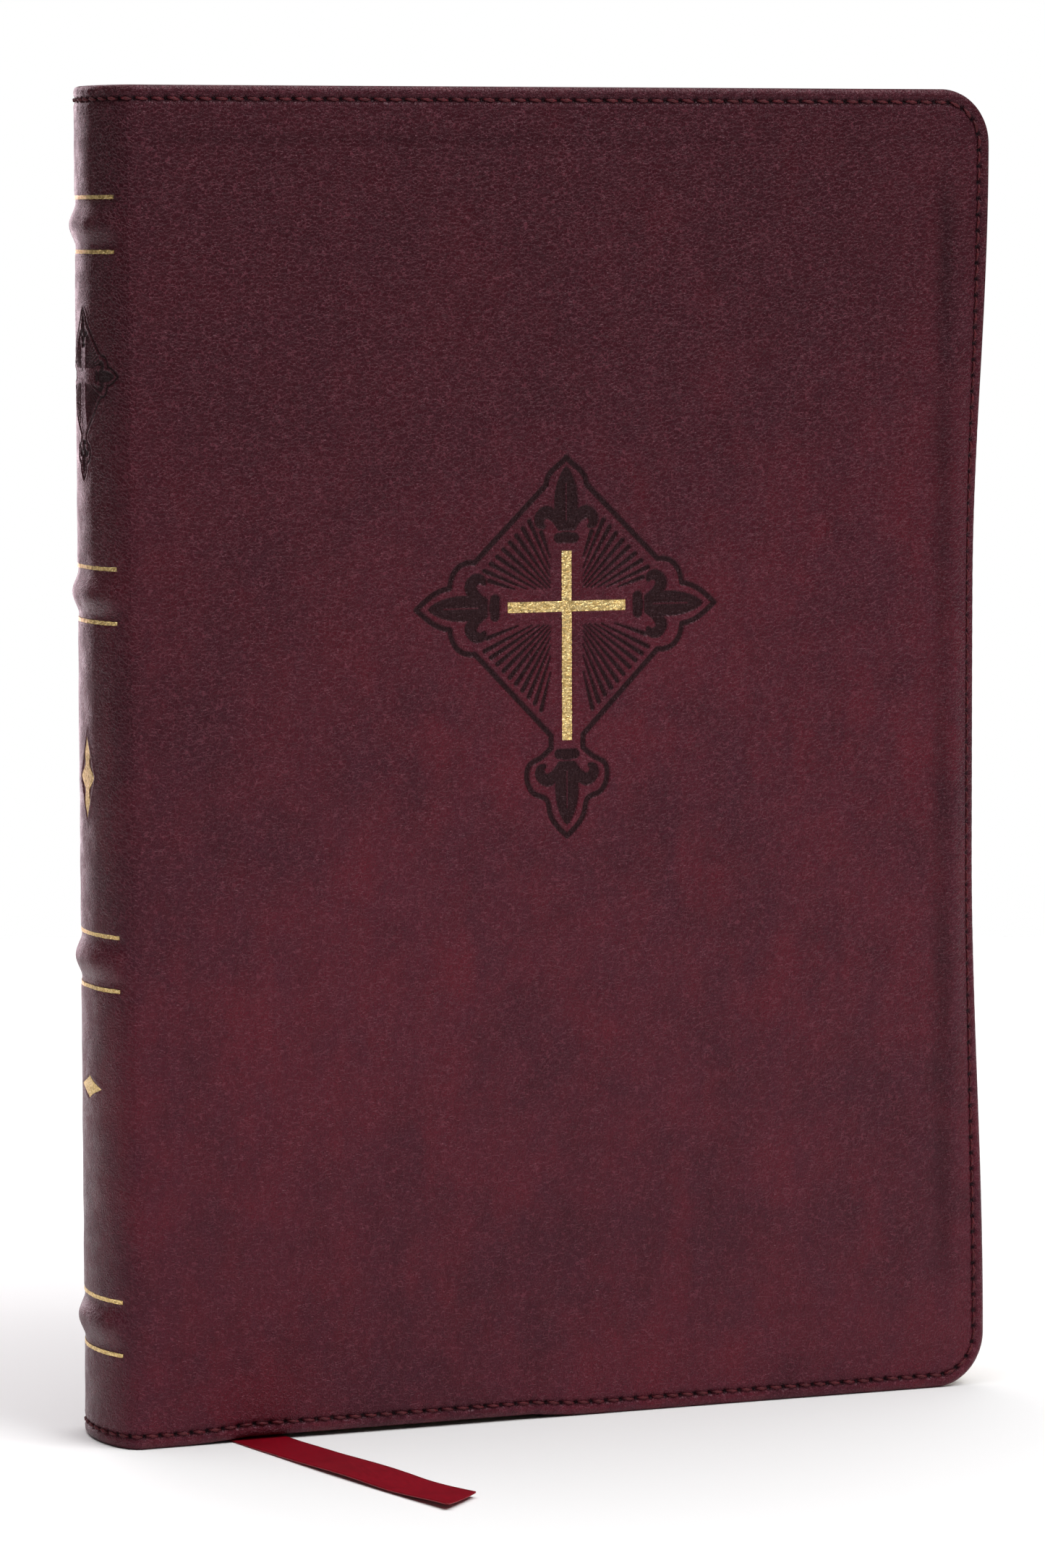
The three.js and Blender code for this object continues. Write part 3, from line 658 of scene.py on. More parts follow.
def satin_material():
    material, tree, shader = new_material("red_satin_ribbon")
    along = node(tree, "Attribute", attribute_name="run").outputs["Fac"]
    across = node(tree, "Attribute", attribute_name="width").outputs["Fac"]
    weave_at = node(tree, "CombineXYZ", {"X": along, "Y": across}).outputs[0]
    weft = node(tree, "TexWave", {"Vector": weave_at, "Scale": 0.62, "Distortion": 0.4, "Detail": 1.0,
                                  "Detail Scale": 2.0}, bands_direction="X").outputs["Fac"]
    warp = node(tree, "TexWave", {"Vector": weave_at, "Scale": 0.9, "Distortion": 0.6, "Detail": 1.0},
                bands_direction="Y").outputs["Fac"]
    spot = place(tree)
    slub = noise(tree, node(tree, "Mapping", {"Vector": weave_at, "Scale": (0.5, 6.0, 1.0)}).outputs[0],
                 1.0, 3.0)
    tone = mix(tree, ramp(tree, slub, 0.3, 0.7), rgb(0.135, 0.0018, 0.0065), rgb(0.27, 0.0035, 0.013))
    tone = mix(tree, ramp(tree, noise(tree, spot, 160.0, 3.0), 0.4, 0.7, 0.0, 0.3), tone,
               rgb(0.09, 0.001, 0.004))
    height = combine(tree, "ADD", combine(tree, "MULTIPLY", weft, 0.6), combine(tree, "MULTIPLY", warp, 0.4))
    tree.links.new(tone, shader.inputs["Base Color"])
    tree.links.new(ramp(tree, slub, 0.3, 0.7, 0.30, 0.42), shader.inputs["Roughness"])
    tree.links.new(bump(tree, height, 0.00003, 0.6), shader.inputs["Normal"])
    shader.inputs["Specular IOR Level"].default_value = 0.22
    shader.inputs["Sheen Weight"].default_value = 0.25
    shader.inputs["Sheen Tint"].default_value = rgb(0.8, 0.02, 0.05)
    shader.inputs["Anisotropic"].default_value = 0.5
    return material


def paper_material(name, light, dark, rough, edge_lines=False, metal=0.0):
    """Thin printing paper; on the block's edges fine lines show the single leaves."""
    material, tree, shader = new_material(name)
    spot = place(tree)
    fibre = noise(tree, spot, 900.0, 4.0, 0.6)
    tone = mix(tree, ramp(tree, noise(tree, spot, 260.0, 5.0, 0.7), 0.2, 0.8, 0.35, 1.0), dark, light)
    tone = mix(tree, ramp(tree, fibre, 0.55, 0.75, 0.0, 0.3), tone, dark)
    height = fibre
    if edge_lines:
        leaves = noise(tree, place(tree, (12.0, 9000.0, 12.0)), 1.0, 2.0, 0.5)
        tone = mix(tree, ramp(tree, leaves, 0.35, 0.65, 0.0, 0.55), tone,
                   [c * 0.55 for c in dark[:3]] + [1.0])
        height = combine(tree, "ADD", combine(tree, "MULTIPLY", fibre, 0.3), leaves)
        shader.inputs["Metallic"].default_value = metal
    tree.links.new(tone, shader.inputs["Base Color"])
    tree.links.new(ramp(tree, fibre, 0.3, 0.7, rough - 0.06, rough + 0.06), shader.inputs["Roughness"])
    tree.links.new(bump(tree, height, 0.00004, 0.5), shader.inputs["Normal"])
    return material


def woven_material(name, light, dark, threads):
    """Open plain weave with `threads` threads to the metre."""
    material, tree, shader = new_material(name)
    spot = place(tree)
    up = node(tree, "TexWave", {"Vector": spot, "Scale": threads / 20.0, "Distortion": 0.5},
              bands_direction="Z").outputs["Fac"]
    over = node(tree, "TexWave", {"Vector": spot, "Scale": threads / 20.0, "Distortion": 0.5},
                bands_direction="Y").outputs["Fac"]
    weave = combine(tree, "MULTIPLY", up, over)
    tone = mix(tree, ramp(tree, weave, 0.1, 0.7), dark, light)
    tone = mix(tree, ramp(tree, noise(tree, spot, 120.0, 3.0), 0.4, 0.7, 0.0, 0.3), tone, dark)
    tree.links.new(tone, shader.inputs["Base Color"])
    tree.links.new(ramp(tree, weave, 0.0, 1.0, 0.9, 0.75), shader.inputs["Roughness"])
    tree.links.new(bump(tree, weave, 0.0001, 0.8), shader.inputs["Normal"])
    return material


def striped_material():
    material, tree, shader = new_material("striped_band_silk")
    stripe = attribute(tree, "stripe")
    spot = place(tree)
    fibre = noise(tree, place(tree, (1.0, 6.0, 1.0)), 2500.0, 3.0)
    tone = mix(tree, stripe, rgb(0.21, 0.012, 0.022), rgb(0.62, 0.53, 0.36))
    tone = mix(tree, ramp(tree, fibre, 0.35, 0.65, 0.0, 0.4), tone, rgb(0.09, 0.02, 0.02))
    tree.links.new(tone, shader.inputs["Base Color"])
    tree.links.new(ramp(tree, noise(tree, spot, 800.0), 0.3, 0.7, 0.42, 0.58), shader.inputs["Roughness"])
    tree.links.new(bump(tree, fibre, 0.00006, 0.7), shader.inputs["Normal"])
    shader.inputs["Sheen Weight"].default_value = 0.3
    return material


LEATHER = leather_material("imitation_leather")
FOIL = foil_material()
THREAD = thread_material("crimson_thread", rgb(0.150, 0.014, 0.022), rgb(0.030, 0.004, 0.006), 5200.0)
SEWING = thread_material("white_sewing_thread", rgb(0.82, 0.79, 0.72), rgb(0.55, 0.52, 0.46), 4200.0)
SATIN = satin_material()
ENDPAPER = paper_material("cream_endpaper", rgb(0.82, 0.76, 0.64), rgb(0.74, 0.67, 0.54), 0.78)
PAGE = paper_material("thin_page_paper", rgb(0.87, 0.83, 0.74), rgb(0.80, 0.755, 0.65), 0.72)
GILT = paper_material("gilt_page_edges", rgb(0.80, 0.58, 0.26), rgb(0.58, 0.38, 0.13), 0.36, True, 0.8)
CARD = paper_material("grey_card", rgb(0.34, 0.31, 0.26), rgb(0.22, 0.20, 0.165), 0.88)
GAUZE = woven_material("spine_gauze_cloth", rgb(0.78, 0.75, 0.66), rgb(0.42, 0.39, 0.32), 900.0)
BANDS = striped_material()


# ---------------------------------------------------------------- marker ribbon

RIBBON_ROUTE = [
    (-73.4, 0, 235.4), (-73.2, 0, 222), (-72.6, 0, 195), (-71.8, 0, 165), (-70.7, 0, 135), (-69.3, 0, 105),
    (-67.5, 0, 75), (-65.1, 0, 48), (-62.7, 0, 26), (-60.9, 0, 12), (-60.1, 0, 5.2), (-59.85, -0.1, 3.0),
    (-59.7, -0.8, 1.25), (-59.4, -2.4, 0.42), (-58.9, -5.5, 0.24), (-57.9, -11, 0.22), (-56.7, -18, 0.22),
    (-55.2, -26, 0.23), (-53.6, -35, 0.24), (-51.9, -44, 0.24), (-50.1, -53, 0.23), (-48.2, -62, 0.22),
    (-46.1, -71, 0.22), (-44.4, -78, 0.22)]
RIBBON_WIDTH = 10.0
RIBBON_SLANT = 6.0


def centripetal(points, steps=40):
    """The centripetal Catmull-Rom curve that the CAD strip follows."""
    points = np.array(points, float)
    padded = np.vstack([2 * points[0] - points[1], points, 2 * points[-1] - points[-2]])
    out = []
    for i in range(len(points) - 1):
        p0, p1, p2, p3 = padded[i:i + 4]
        d0, d1, d2 = (math.sqrt(np.linalg.norm(b - a)) for a, b in ((p0, p1), (p1, p2), (p2, p3)))
        m1 = ((p1 - p0) / d0 - (p2 - p0) / (d0 + d1) + (p2 - p1) / d1) * d1
        m2 = ((p2 - p1) / d1 - (p3 - p1) / (d1 + d2) + (p3 - p2) / d2) * d1
        t = np.linspace(0, 1, steps, endpoint=False)[:, None]
        out.append(p1 + m1 * t + (3 * (p2 - p1) - 2 * m1 - m2) * t ** 2 + (2 * (p1 - p2) + m1 + m2) * t ** 3)
    return np.vstack(out + [points[-1:]])


def make_ribbon():
    line = centripetal(RIBBON_ROUTE)
    steps = np.linalg.norm(np.diff(line, axis=0), axis=1)
    run = np.concatenate([[0], np.cumsum(steps)])
    total = run[-1]
    line = np.vstack([line, line[-1] + (line[-1] - line[-2]) * 4 / steps[-1]])
    run = np.append(run, total + 4)
    rows = np.concatenate([np.linspace(0, total - 85, 60), np.linspace(total - 84, total, 150)])
    across = np.linspace(-0.5, 0.5, 15)
    ramp_end = np.clip((rows - (total - 9)) / 9, 0, 1)
    length = rows[:, None] - (ramp_end * RIBBON_SLANT)[:, None] * across[None, :]
    grid = np.stack([np.interp(length, run, line[:, k]) for k in range(3)], -1)
    ahead = np.stack([np.interp(length + 0.4, run, line[:, k]) for k in range(3)], -1)
    behind = np.stack([np.interp(length - 0.4, run, line[:, k]) for k in range(3)], -1)
    tangent = ahead - behind
    tangent /= np.linalg.norm(tangent, axis=-1, keepdims=True)
    side = np.stack([np.ones(length.shape), -0.35 * tangent[..., 1], np.zeros(length.shape)], -1)
    side -= (side * tangent).sum(-1, keepdims=True) * tangent
    side /= np.linalg.norm(side, axis=-1, keepdims=True)
    normal = np.cross(side, tangent)
    edge = 0.10 + 0.05 * smoothstep(0.40, 0.47, np.abs(across))
    free = smoothstep(total - 62, total - 40, length)
    curl = free * (0.16 * np.sin(length * 0.16) + 0.16 + 1.3 * np.abs(across[None, :]) ** 2.5)
    tip = smoothstep(total - 20, total, length) * 0.5
    middle = grid + side * (across * RIBBON_WIDTH)[None, :, None]
    middle[..., 2] += curl + tip
    lay = np.where(normal[..., 2:3] < -0.2, -normal, normal)
    top = middle + lay * edge[None, :, None]
    bottom = middle - lay * edge[None, :, None]
    n, m = length.shape
    ring = np.concatenate([top, bottom[:, ::-1]], 1)
    points = ring.reshape(-1, 3)
    points[:, 2] = np.maximum(points[:, 2], 0.03)
    faces = grid_faces(n, 2 * m, wrap=True)
    for start in (0, (n - 1) * 2 * m):
        for j in range(m - 1):
            quad = (start + j, start + j + 1, start + 2 * m - 2 - j, start + 2 * m - 1 - j)
            faces.append(quad if start else quad[::-1])
    runs = np.concatenate([length, length[:, ::-1]], 1).ravel()
    widths = np.tile(np.concatenate([across, across[::-1]]) * RIBBON_WIDTH, n)
    piece = make_piece("marker_ribbon_satin", points, faces, [SATIN], {"run": runs, "width": widths})
    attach(piece, "spine")
    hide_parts("marker_ribbon")
    return piece


make_ribbon()


# ---------------------------------------------------------------- leather of the covers

def edge_radius(s):
    return 0.8 + 0.2 * smoothstep(-SEAM, 3, s)


def rolled_edge(distance, radius):
    """Rounds a sheet over at its outline: how far in each point now lies, and how deep."""
    turn = np.clip(distance / radius, 0, 1) * math.pi / 2
    inside = np.where(distance < radius, radius * (1 - np.cos(turn)), distance)
    return inside, radius * (1 - np.sin(turn))


def emblem_at(s, z):
    return s - CROSS_S, z - CROSS_Z


def grain_side_marks(count, ink, painted_shade, wear):
    """The leather's vertex values, zero past its grain side, whose vertices come first."""
    marks = {"ink": ink, "painted_shade": painted_shade, "wear": wear}
    return {key: np.concatenate([values, np.zeros(count - len(values))]) for key, values in marks.items()}


HEAD_RIDGE_Z = HEIGHT - 9.6


def cover_surface(s, z, inset, side):
    """Height of the leather's grain side, and its ink, painted-shade and wear values: the painted shade
    darkens the needle holes, the fore crease and the head ridge.
    """
    relief, hole = stitch_relief(inset, stitch_station(s, z), COVER_PITCH)
    relief = relief + 0.035 * lumps(s, z, 11, 7 + side) * smoothstep(3, 9, inset)
    crease = np.exp(-((s - (FORE_BEND_START - 0.6)) / 2.0) ** 2)
    crease = crease * smoothstep(9, 30, z) * smoothstep(8, 26, HEIGHT - z)
    ridge = np.exp(-((z - HEAD_RIDGE_Z) / 0.8) ** 2)
    ridge = ridge * (1 - 0.6 * smoothstep(60, 120, s)) * smoothstep(1, 8, s)
    # Painted shade: the colour is darkened along the fore crease and the head ridge, where the bent leather
    # turns away from the light; this is added to the needle holes' painted shade.
    shade = 0.42 * crease * (0.8 + 0.2 * lumps(s, z, 26, 3)) + 0.20 * ridge
    relief = relief - 0.40 * crease - 0.24 * ridge
    joint = 0.10 * np.exp(-((s - 3.2) / 1.7) ** 2)
    relief = relief - joint * smoothstep(1, 8, z) * smoothstep(1, 8, HEIGHT - z)
    ink = np.zeros(s.shape)
    if side == FRONT:
        u, v = emblem_at(s, z)
        mark = emblem_distance(u, v)
        cross = cross_distance(u, v)
        relief = relief + press(mark, 0.27) + press(cross, 0.13, 0.12)
        beyond = np.hypot(np.maximum(np.abs(u) - 20, 0), np.maximum(np.abs(v) - 24, 0))
        relief = relief - 0.05 * smoothstep(-4, 0, -beyond)
        ink = (1 - smoothstep(-0.08, 0.14, mark)) * smoothstep(0.0, 0.3, cross)
    wear = 1 - smoothstep(0.2, 1.6, inset)
    return relief, ink, np.clip(hole * 1.5 + shade, 0, 1), wear


def cover_wanted(side):
    def wanted(s, z):
        at = round_corners(np.stack([s, z], -1), FORE_S, 0, HEIGHT, CORNER_R)
        inset = outline_distance(at[:, 0], at[:, 1])[0]
        need = np.full(len(s), 2.0)
        need[inset < 7.0] = 0.9
        need[np.abs(at[:, 0] - FORE_BEND_START) < 5] = 0.9
        need[(at[:, 0] < 6.5)] = 0.9
        need[inset < 3.6] = 0.45
        station = stitch_station(at[:, 0], at[:, 1]) / COVER_PITCH
        near_hole = np.abs((station + 0.5) % 1 - 0.5) * COVER_PITCH < 0.75
        need[(np.abs(inset - STITCH_INSET) < 0.75) & near_hole] = 0.25
        if side == FRONT:
            u, v = emblem_at(at[:, 0], at[:, 1])
            mark = np.minimum(emblem_distance(u, v), np.abs(cross_distance(u, v)))
            need[mark < 1.4] = 0.45
            need[np.abs(mark) < 0.5] = 0.2
        return need
    return wanted


TURN_IN = (1.0, 2.0, 3.5, 5.0, 7.0, 9.0)


def turned_edge(line_s, line_z, normal_s, normal_z, radius, offsets):
    """Rows of points that carry a sheet's edge round to its inner face and on inwards."""
    rows = []
    for turn in (0.25, 0.5, 0.75, 1.0):
        angle = turn * math.pi / 2
        off = radius * (1 - np.cos(angle))
        rows.append((line_s - normal_s * off, line_z - normal_z * off, radius + radius * np.sin(angle)))
    for off in offsets:
        grow = np.maximum(off, radius)
        rows.append((line_s - normal_s * grow, line_z - normal_z * grow, 2 * radius + 0 * line_s))
    return rows


def strip_faces(first_ring, start, rows, count):
    faces = []
    previous = first_ring
    for r in range(rows):
        ring = [start + r * count + i for i in range(count)]
        faces += [(previous[i + 1], previous[i], ring[i], ring[i + 1]) for i in range(count - 1)]
        previous = ring
    return faces


def make_cover_leather(side, name, replaced):
    low, high = np.array((-SEAM, 0.0)), np.array((FORE_S, HEIGHT))
    points, faces, edges = adaptive_sheet(low, high, 6.4, 5, cover_wanted(side))
    flat = round_corners(points, FORE_S, 0, HEIGHT, CORNER_R)
    inset, normal_s, normal_z = outline_distance(flat[:, 0], flat[:, 1])
    inset = np.maximum(inset, 0)
    radius = edge_radius(flat[:, 0])
    inside, roll = rolled_edge(inset, radius)
    relief, ink, painted_shade, wear = cover_surface(flat[:, 0], flat[:, 1], inset, side)
    s = flat[:, 0] + normal_s * (inset - inside)
    z = flat[:, 1] + normal_z * (inset - inside)
    outer = on_cover(s, z, roll - relief * smoothstep(0, 1.2, inset), side)
    ring = np.concatenate([edges[0], edges[1][1:], edges[2][::-1][1:]])
    base = flat[ring]
    rows = turned_edge(base[:, 0], base[:, 1], normal_s[ring], normal_z[ring], radius[ring], TURN_IN)
    strips = [on_cover(a, b, c, side) for a, b, c in rows]
    count = len(ring)
    faces = list(faces) + strip_faces(list(ring), len(outer), len(rows), count)
    lining_s = np.concatenate([np.arange(-SEAM, 7, 0.45), [8.0, 9.5]])
    lining_z = np.concatenate([[7.5], np.arange(12, HEIGHT - 10, 8.0), [HEIGHT - 7.5]])
    grid_s, grid_z = np.meshgrid(lining_s, lining_z)
    lining = on_cover(grid_s, grid_z, 2 * edge_radius(grid_s) - 0.02, side).reshape(-1, 3)
    start = len(outer) + len(rows) * count
    inner_faces = grid_faces(len(lining_z), len(lining_s), start)
    faces += [f[::-1] for f in inner_faces]
    if side == BACK:
        faces = [tuple(f)[::-1] for f in faces]
    every = np.vstack([outer] + strips + [lining])
    faces = [tuple(int(i) for i in f) for f in faces]
    piece = make_piece(name, every, faces, [LEATHER], grain_side_marks(len(every), ink, painted_shade, wear))
    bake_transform(piece)
    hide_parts(replaced)
    return piece


make_cover_leather(FRONT, "front_cover_leather", "front_cover_skin")
make_cover_leather(BACK, "back_cover_leather", "back_cover_skin")


# ---------------------------------------------------------------- leather of the spine

SPINE_REACH = SPINE_HALF_LENGTH - SEAM
ORNAMENTS = [("spine_foil_ornament_upper", 3.4, 7.3), ("spine_foil_ornament_lower", 5.2, 2.0)]
SPINE_EMBLEM_Z = BAND_Z[3] - 29.6


def ornament_centre(name):
    low, high = box_mm(name)
    return (low[2] + high[2]) / 2


def spine_emblem_distance(u, z):
    return emblem_distance(u / 0.40, (z - SPINE_EMBLEM_Z) / 0.44 - 7.0) * 0.40


def ornament_distance(u, z):
    best = np.full(np.shape(u), 99.0)
    for name, half_u, half_z in ORNAMENTS:
        v = np.abs(z - ornament_centre(name)) / half_z
        best = np.minimum(best, (np.abs(u) / half_u + v - 1) * min(half_u, half_z) * 0.8)
    return best


def spine_surface(u, z):
    inset = np.minimum(z, HEIGHT - z)
    relief, hole = stitch_relief(inset, u + SPINE_HALF_LENGTH, SPINE_PITCH)
    fade = 1 - smoothstep(10.0, 13.4, np.abs(u))
    for centre in BAND_Z:
        t = np.clip((z - centre) / 3.5, -1, 1)
        swell = BAND_RISE * np.cos(t * math.pi / 2) ** 1.7
        dip = 0.16 * np.exp(-((np.abs(z - centre) - 3.9) / 0.8) ** 2)
        relief = relief + fade * (swell - dip)
    reach = 1 - smoothstep(RULE_U - 0.2, RULE_U + 0.3, np.abs(u))
    for centre in RULE_Z:
        beside = smoothstep(RULE_HALF - 0.06, RULE_HALF + 0.14, np.abs(z - centre))
        relief = relief - 0.11 * (1 - beside) * reach
    mark = spine_emblem_distance(u, z)
    relief = relief + press(mark, 0.20, 0.12) + press(ornament_distance(u, z), 0.10, 0.12)
    uneven = 0.04 * lumps(u, z, 9, 21) * smoothstep(3, 8, inset)
    relief = relief + uneven * (1 - smoothstep(11, 13.5, np.abs(u)))
    worn = sum(np.exp(-((z - centre) / 1.6) ** 2) for centre in BAND_Z) * fade
    wear = np.maximum(1 - smoothstep(0.2, 1.6, inset), 0.55 * worn)
    # The third value is painted shade: the needle holes darkened in the colour.
    return relief, 1 - smoothstep(-0.05, 0.12, mark), np.clip(hole * 1.5, 0, 1), wear


def spine_wanted(u, z):
    need = np.full(len(u), 1.5)
    inset = np.minimum(z, HEIGHT - z)
    need[inset < 3.6] = 0.45
    station = (u + SPINE_HALF_LENGTH) / SPINE_PITCH
    near_hole = np.abs((station + 0.5) % 1 - 0.5) * SPINE_PITCH < 0.75
    need[(np.abs(inset - STITCH_INSET) < 0.75) & near_hole] = 0.25
    for centre in BAND_Z:
        need[np.abs(z - centre) < 5.6] = 0.45
    mark = np.minimum(spine_emblem_distance(u, z), np.abs(ornament_distance(u, z)))
    need[mark < 1.0] = 0.4
    need[np.abs(mark) < 0.35] = 0.2
    return need


RULE_U = np.interp(math.asin(RULE_REACH / HALF), ARC_ANGLES, ARC_LENGTHS) - SPINE_HALF_LENGTH


def make_spine_leather():
    low, high = np.array((-SPINE_REACH, 0.0)), np.array((SPINE_REACH, HEIGHT))
    points, faces, edges = adaptive_sheet(low, high, 6.4, 5, spine_wanted)
    u, z = points.T
    inset = np.minimum(z, HEIGHT - z)
    normal_z = np.where(z > HEIGHT / 2, 1.0, -1.0)
    radius = np.full(len(u), edge_radius(-SEAM))
    inside, roll = rolled_edge(inset, radius)
    relief, ink, painted_shade, wear = spine_surface(u, z)
    outer = on_spine(u, z + normal_z * (inset - inside), roll - relief * smoothstep(0, 1.2, inset))
    every, faces, start = [outer], [tuple(f)[::-1] for f in faces], len(outer)
    for ring, turn in ((edges[0], 1), (edges[2][::-1], -1)):
        rows = turned_edge(u[ring], z[ring], 0 * u[ring], normal_z[ring], radius[ring], (1, 3, 6, 10, 14))
        every += [on_spine(a, b, c) for a, b, c in rows]
        faces += [f[::-1] for f in strip_faces(list(ring), start, len(rows), len(ring))]
        start += len(rows) * len(ring)
    every = np.vstack(every)
    faces = [tuple(int(i) for i in f) for f in faces]
    piece = make_piece("spine_leather", every, faces, [LEATHER], grain_side_marks(len(every), ink, painted_shade, wear))
    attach(piece, "spine")
    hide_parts("spine_skin")


make_spine_leather()


# ---------------------------------------------------------------- stitches

def thread_run(centre_a, centre_b, across, height_at, where, wobble):
    """Beads of thread between needle holes, in a sheet's own (a, b) coordinates.

    centre_a, centre_b: middle of each stitch with its half step; across: the direction
    across the line; height_at(t): how far the thread stands over the leather.
    """
    (a, step_a), (b, step_b) = centre_a, centre_b
    cross_a, cross_b = across
    t = np.linspace(0, 1, 13)
    turn = np.linspace(0, 2 * math.pi, 10, endpoint=False)
    swell = np.sin(math.pi * np.clip(t, 0.03, 0.97)) ** 0.5
    grow = wobble[:, 0, None, None]
    lean = wobble[:, 1, None, None]
    twist = 0.05 * np.cos(2 * turn[None, :] - 2 * math.pi * 2.2 * t[:, None])
    r = (0.285 + twist)[None] * swell[None, :, None] * (1 + 0.12 * grow)
    along = (2 * t - 1)[None, :, None]
    side = 0.13 * along * (1 + 0.5 * lean) + r * np.cos(turn)[None, None, :]
    rise = height_at(t)[None, :, None] + 0.85 * r * np.sin(turn)[None, None, :]
    shape = (len(a), len(t), len(turn))
    pa = a[:, None, None] + step_a[:, None, None] * along + cross_a[:, None, None] * side
    pb = b[:, None, None] + step_b[:, None, None] * along + cross_b[:, None, None] * side
    points = where(np.broadcast_to(pa, shape), np.broadcast_to(pb, shape), -np.broadcast_to(rise, shape))
    one = grid_faces(len(t), len(turn), wrap=True)
    last = (len(t) - 1) * len(turn)
    one += [tuple(range(len(turn)))[::-1], tuple(last + k for k in range(len(turn)))]
    size = len(t) * len(turn)
    faces = [tuple(i * size + k for k in f) for i in range(len(a)) for f in one]
    return points.reshape(-1, 3), faces


def stitch_height(t):
    return -0.52 + 0.46 * np.sin(math.pi * t) ** 0.5


def make_cover_stitches(side, name, replaced):
    stations = (np.arange(STITCH_COUNT) + 0.5) * COVER_PITCH
    s, z, ds, dz = stitch_place(stations)
    half = COVER_PITCH * 0.40
    wobble = np.random.default_rng(40 + side).normal(0, 0.5, (len(s), 2))
    points, faces = thread_run(
        (s, ds * half), (z, dz * half), (dz, -ds), stitch_height,
        lambda a, b, depth: on_cover(a, b, depth, side), wobble)
    if side == FRONT:
        faces = [f[::-1] for f in faces]
    piece = make_piece(name, points, faces, [THREAD])
    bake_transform(piece)
    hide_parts(replaced)


make_cover_stitches(FRONT, "front_margin_thread", "front_margin_stitching")
make_cover_stitches(BACK, "back_margin_thread", "back_margin_stitching")


def make_spine_stitches(name, replaced, z_line):
    u = (np.arange(SPINE_STITCHES) + 0.5) * SPINE_PITCH - SPINE_HALF_LENGTH
    wobble = np.random.default_rng(60).normal(0, 0.5, (len(u), 2))
    points, faces = thread_run(
        (u, np.full(len(u), SPINE_PITCH * 0.40)), (np.full(len(u), z_line), 0 * u), (0 * u, 1 + 0 * u),
        stitch_height, on_spine, wobble)
    piece = make_piece(name, points, faces, [THREAD])
    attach(piece, "spine")
    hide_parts(replaced)


make_spine_stitches("spine_thread_tail", "spine_stitching_tail", STITCH_INSET)
make_spine_stitches("spine_thread_head", "spine_stitching_head", HEIGHT - STITCH_INSET)


# ---------------------------------------------------------------- gold foil

def foil_slab(name, replaced, body, a, b, keep, where, top, flip=False):
    """A thin closed plate over the kept cells of a grid of (a, b) points."""
    rows, columns = a.shape
    thick = 0.09
    points = np.vstack([where(a, b, top).reshape(-1, 3), where(a, b, top + thick).reshape(-1, 3)])
    shift = rows * columns
    cells = [(i, j) for i in range(rows - 1) for j in range(columns - 1) if keep[i, j]]
    kept = set(cells)
    faces = []
    for i, j in cells:
        p, q = i * columns + j, i * columns + j + 1
        r, s = q + columns, p + columns
        faces += [(p, q, r, s), (s + shift, r + shift, q + shift, p + shift)]
        beside = (((i - 1, j), q, p), ((i + 1, j), s, r), ((i, j - 1), p, s), ((i, j + 1), r, q))
        for near, one, two in beside:
            if near not in kept:
                faces.append((one, two, two + shift, one + shift))
    used = sorted({k for f in faces for k in f})
    number = {k: i for i, k in enumerate(used)}
    faces = [tuple(number[k] for k in f) for f in faces]
    if flip:
        faces = [f[::-1] for f in faces]
    piece = make_piece(name, points[used], faces, [FOIL])
    piece.data.set_sharp_from_angle(angle=math.radians(50))
    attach(piece, body)
    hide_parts(replaced)


def make_foil_cross():
    half_span = (CROSS_HIGH[0] - CROSS_LOW[0]) / 2
    bar = np.linspace(-CROSS_HALF_BAR, CROSS_HALF_BAR, 9)
    us = np.concatenate([np.linspace(-half_span, -CROSS_HALF_BAR, 44)[:-1], bar,
                         np.linspace(CROSS_HALF_BAR, half_span, 44)[1:]])
    low, high = CROSS_LOW[2] - CROSS_Z, CROSS_HIGH[2] - CROSS_Z
    vs = np.concatenate([np.linspace(low, -CROSS_HALF_BAR, 96)[:-1], bar,
                         np.linspace(CROSS_HALF_BAR, high, 38)[1:]])
    u, v = np.meshgrid(us, vs)
    mid_u, mid_v = (u[:-1, :-1] + u[1:, 1:]) / 2, (v[:-1, :-1] + v[1:, 1:]) / 2
    keep = (np.abs(mid_u) < CROSS_HALF_BAR) | (np.abs(mid_v) < CROSS_HALF_BAR)
    ragged = 0.035 * lumps(u, v, 0.9, 5)
    outside = np.sign(u) * (np.abs(np.abs(u) - CROSS_HALF_BAR) < 0.01) * ragged
    top = 0.055 - 0.035 * lumps(u + CROSS_S, v + CROSS_Z, 11, 7 + FRONT) + 0.012 * lumps(u, v, 1.1, 9)
    foil_slab("foil_cross_front", "front_foil_cross", "front_cover", u + CROSS_S + outside, v + CROSS_Z, keep,
              lambda a, b, depth: on_cover(a, b, depth, FRONT), top)


make_foil_cross()


def make_spine_foil(name, replaced, a, b):
    keep = np.ones((a.shape[0] - 1, a.shape[1] - 1), bool)
    top = 0.045 - 0.04 * lumps(a, b, 9, 21) + 0.012 * lumps(a, b, 1.2, 3)
    foil_slab(name, replaced, "spine", a, b, keep, on_spine, top, flip=True)


for number, centre in enumerate(RULE_Z, 1):
    along = np.linspace(-RULE_U, RULE_U, 90)
    across = np.linspace(-RULE_HALF, RULE_HALF, 5)
    rule_u, rule_z = np.meshgrid(along, centre + across)
    rule_z = rule_z + 0.03 * lumps(rule_u, rule_z, 2.0, number)
    make_spine_foil(f"foil_rule_{number}", f"spine_gold_rule_{number}", rule_u, rule_z)

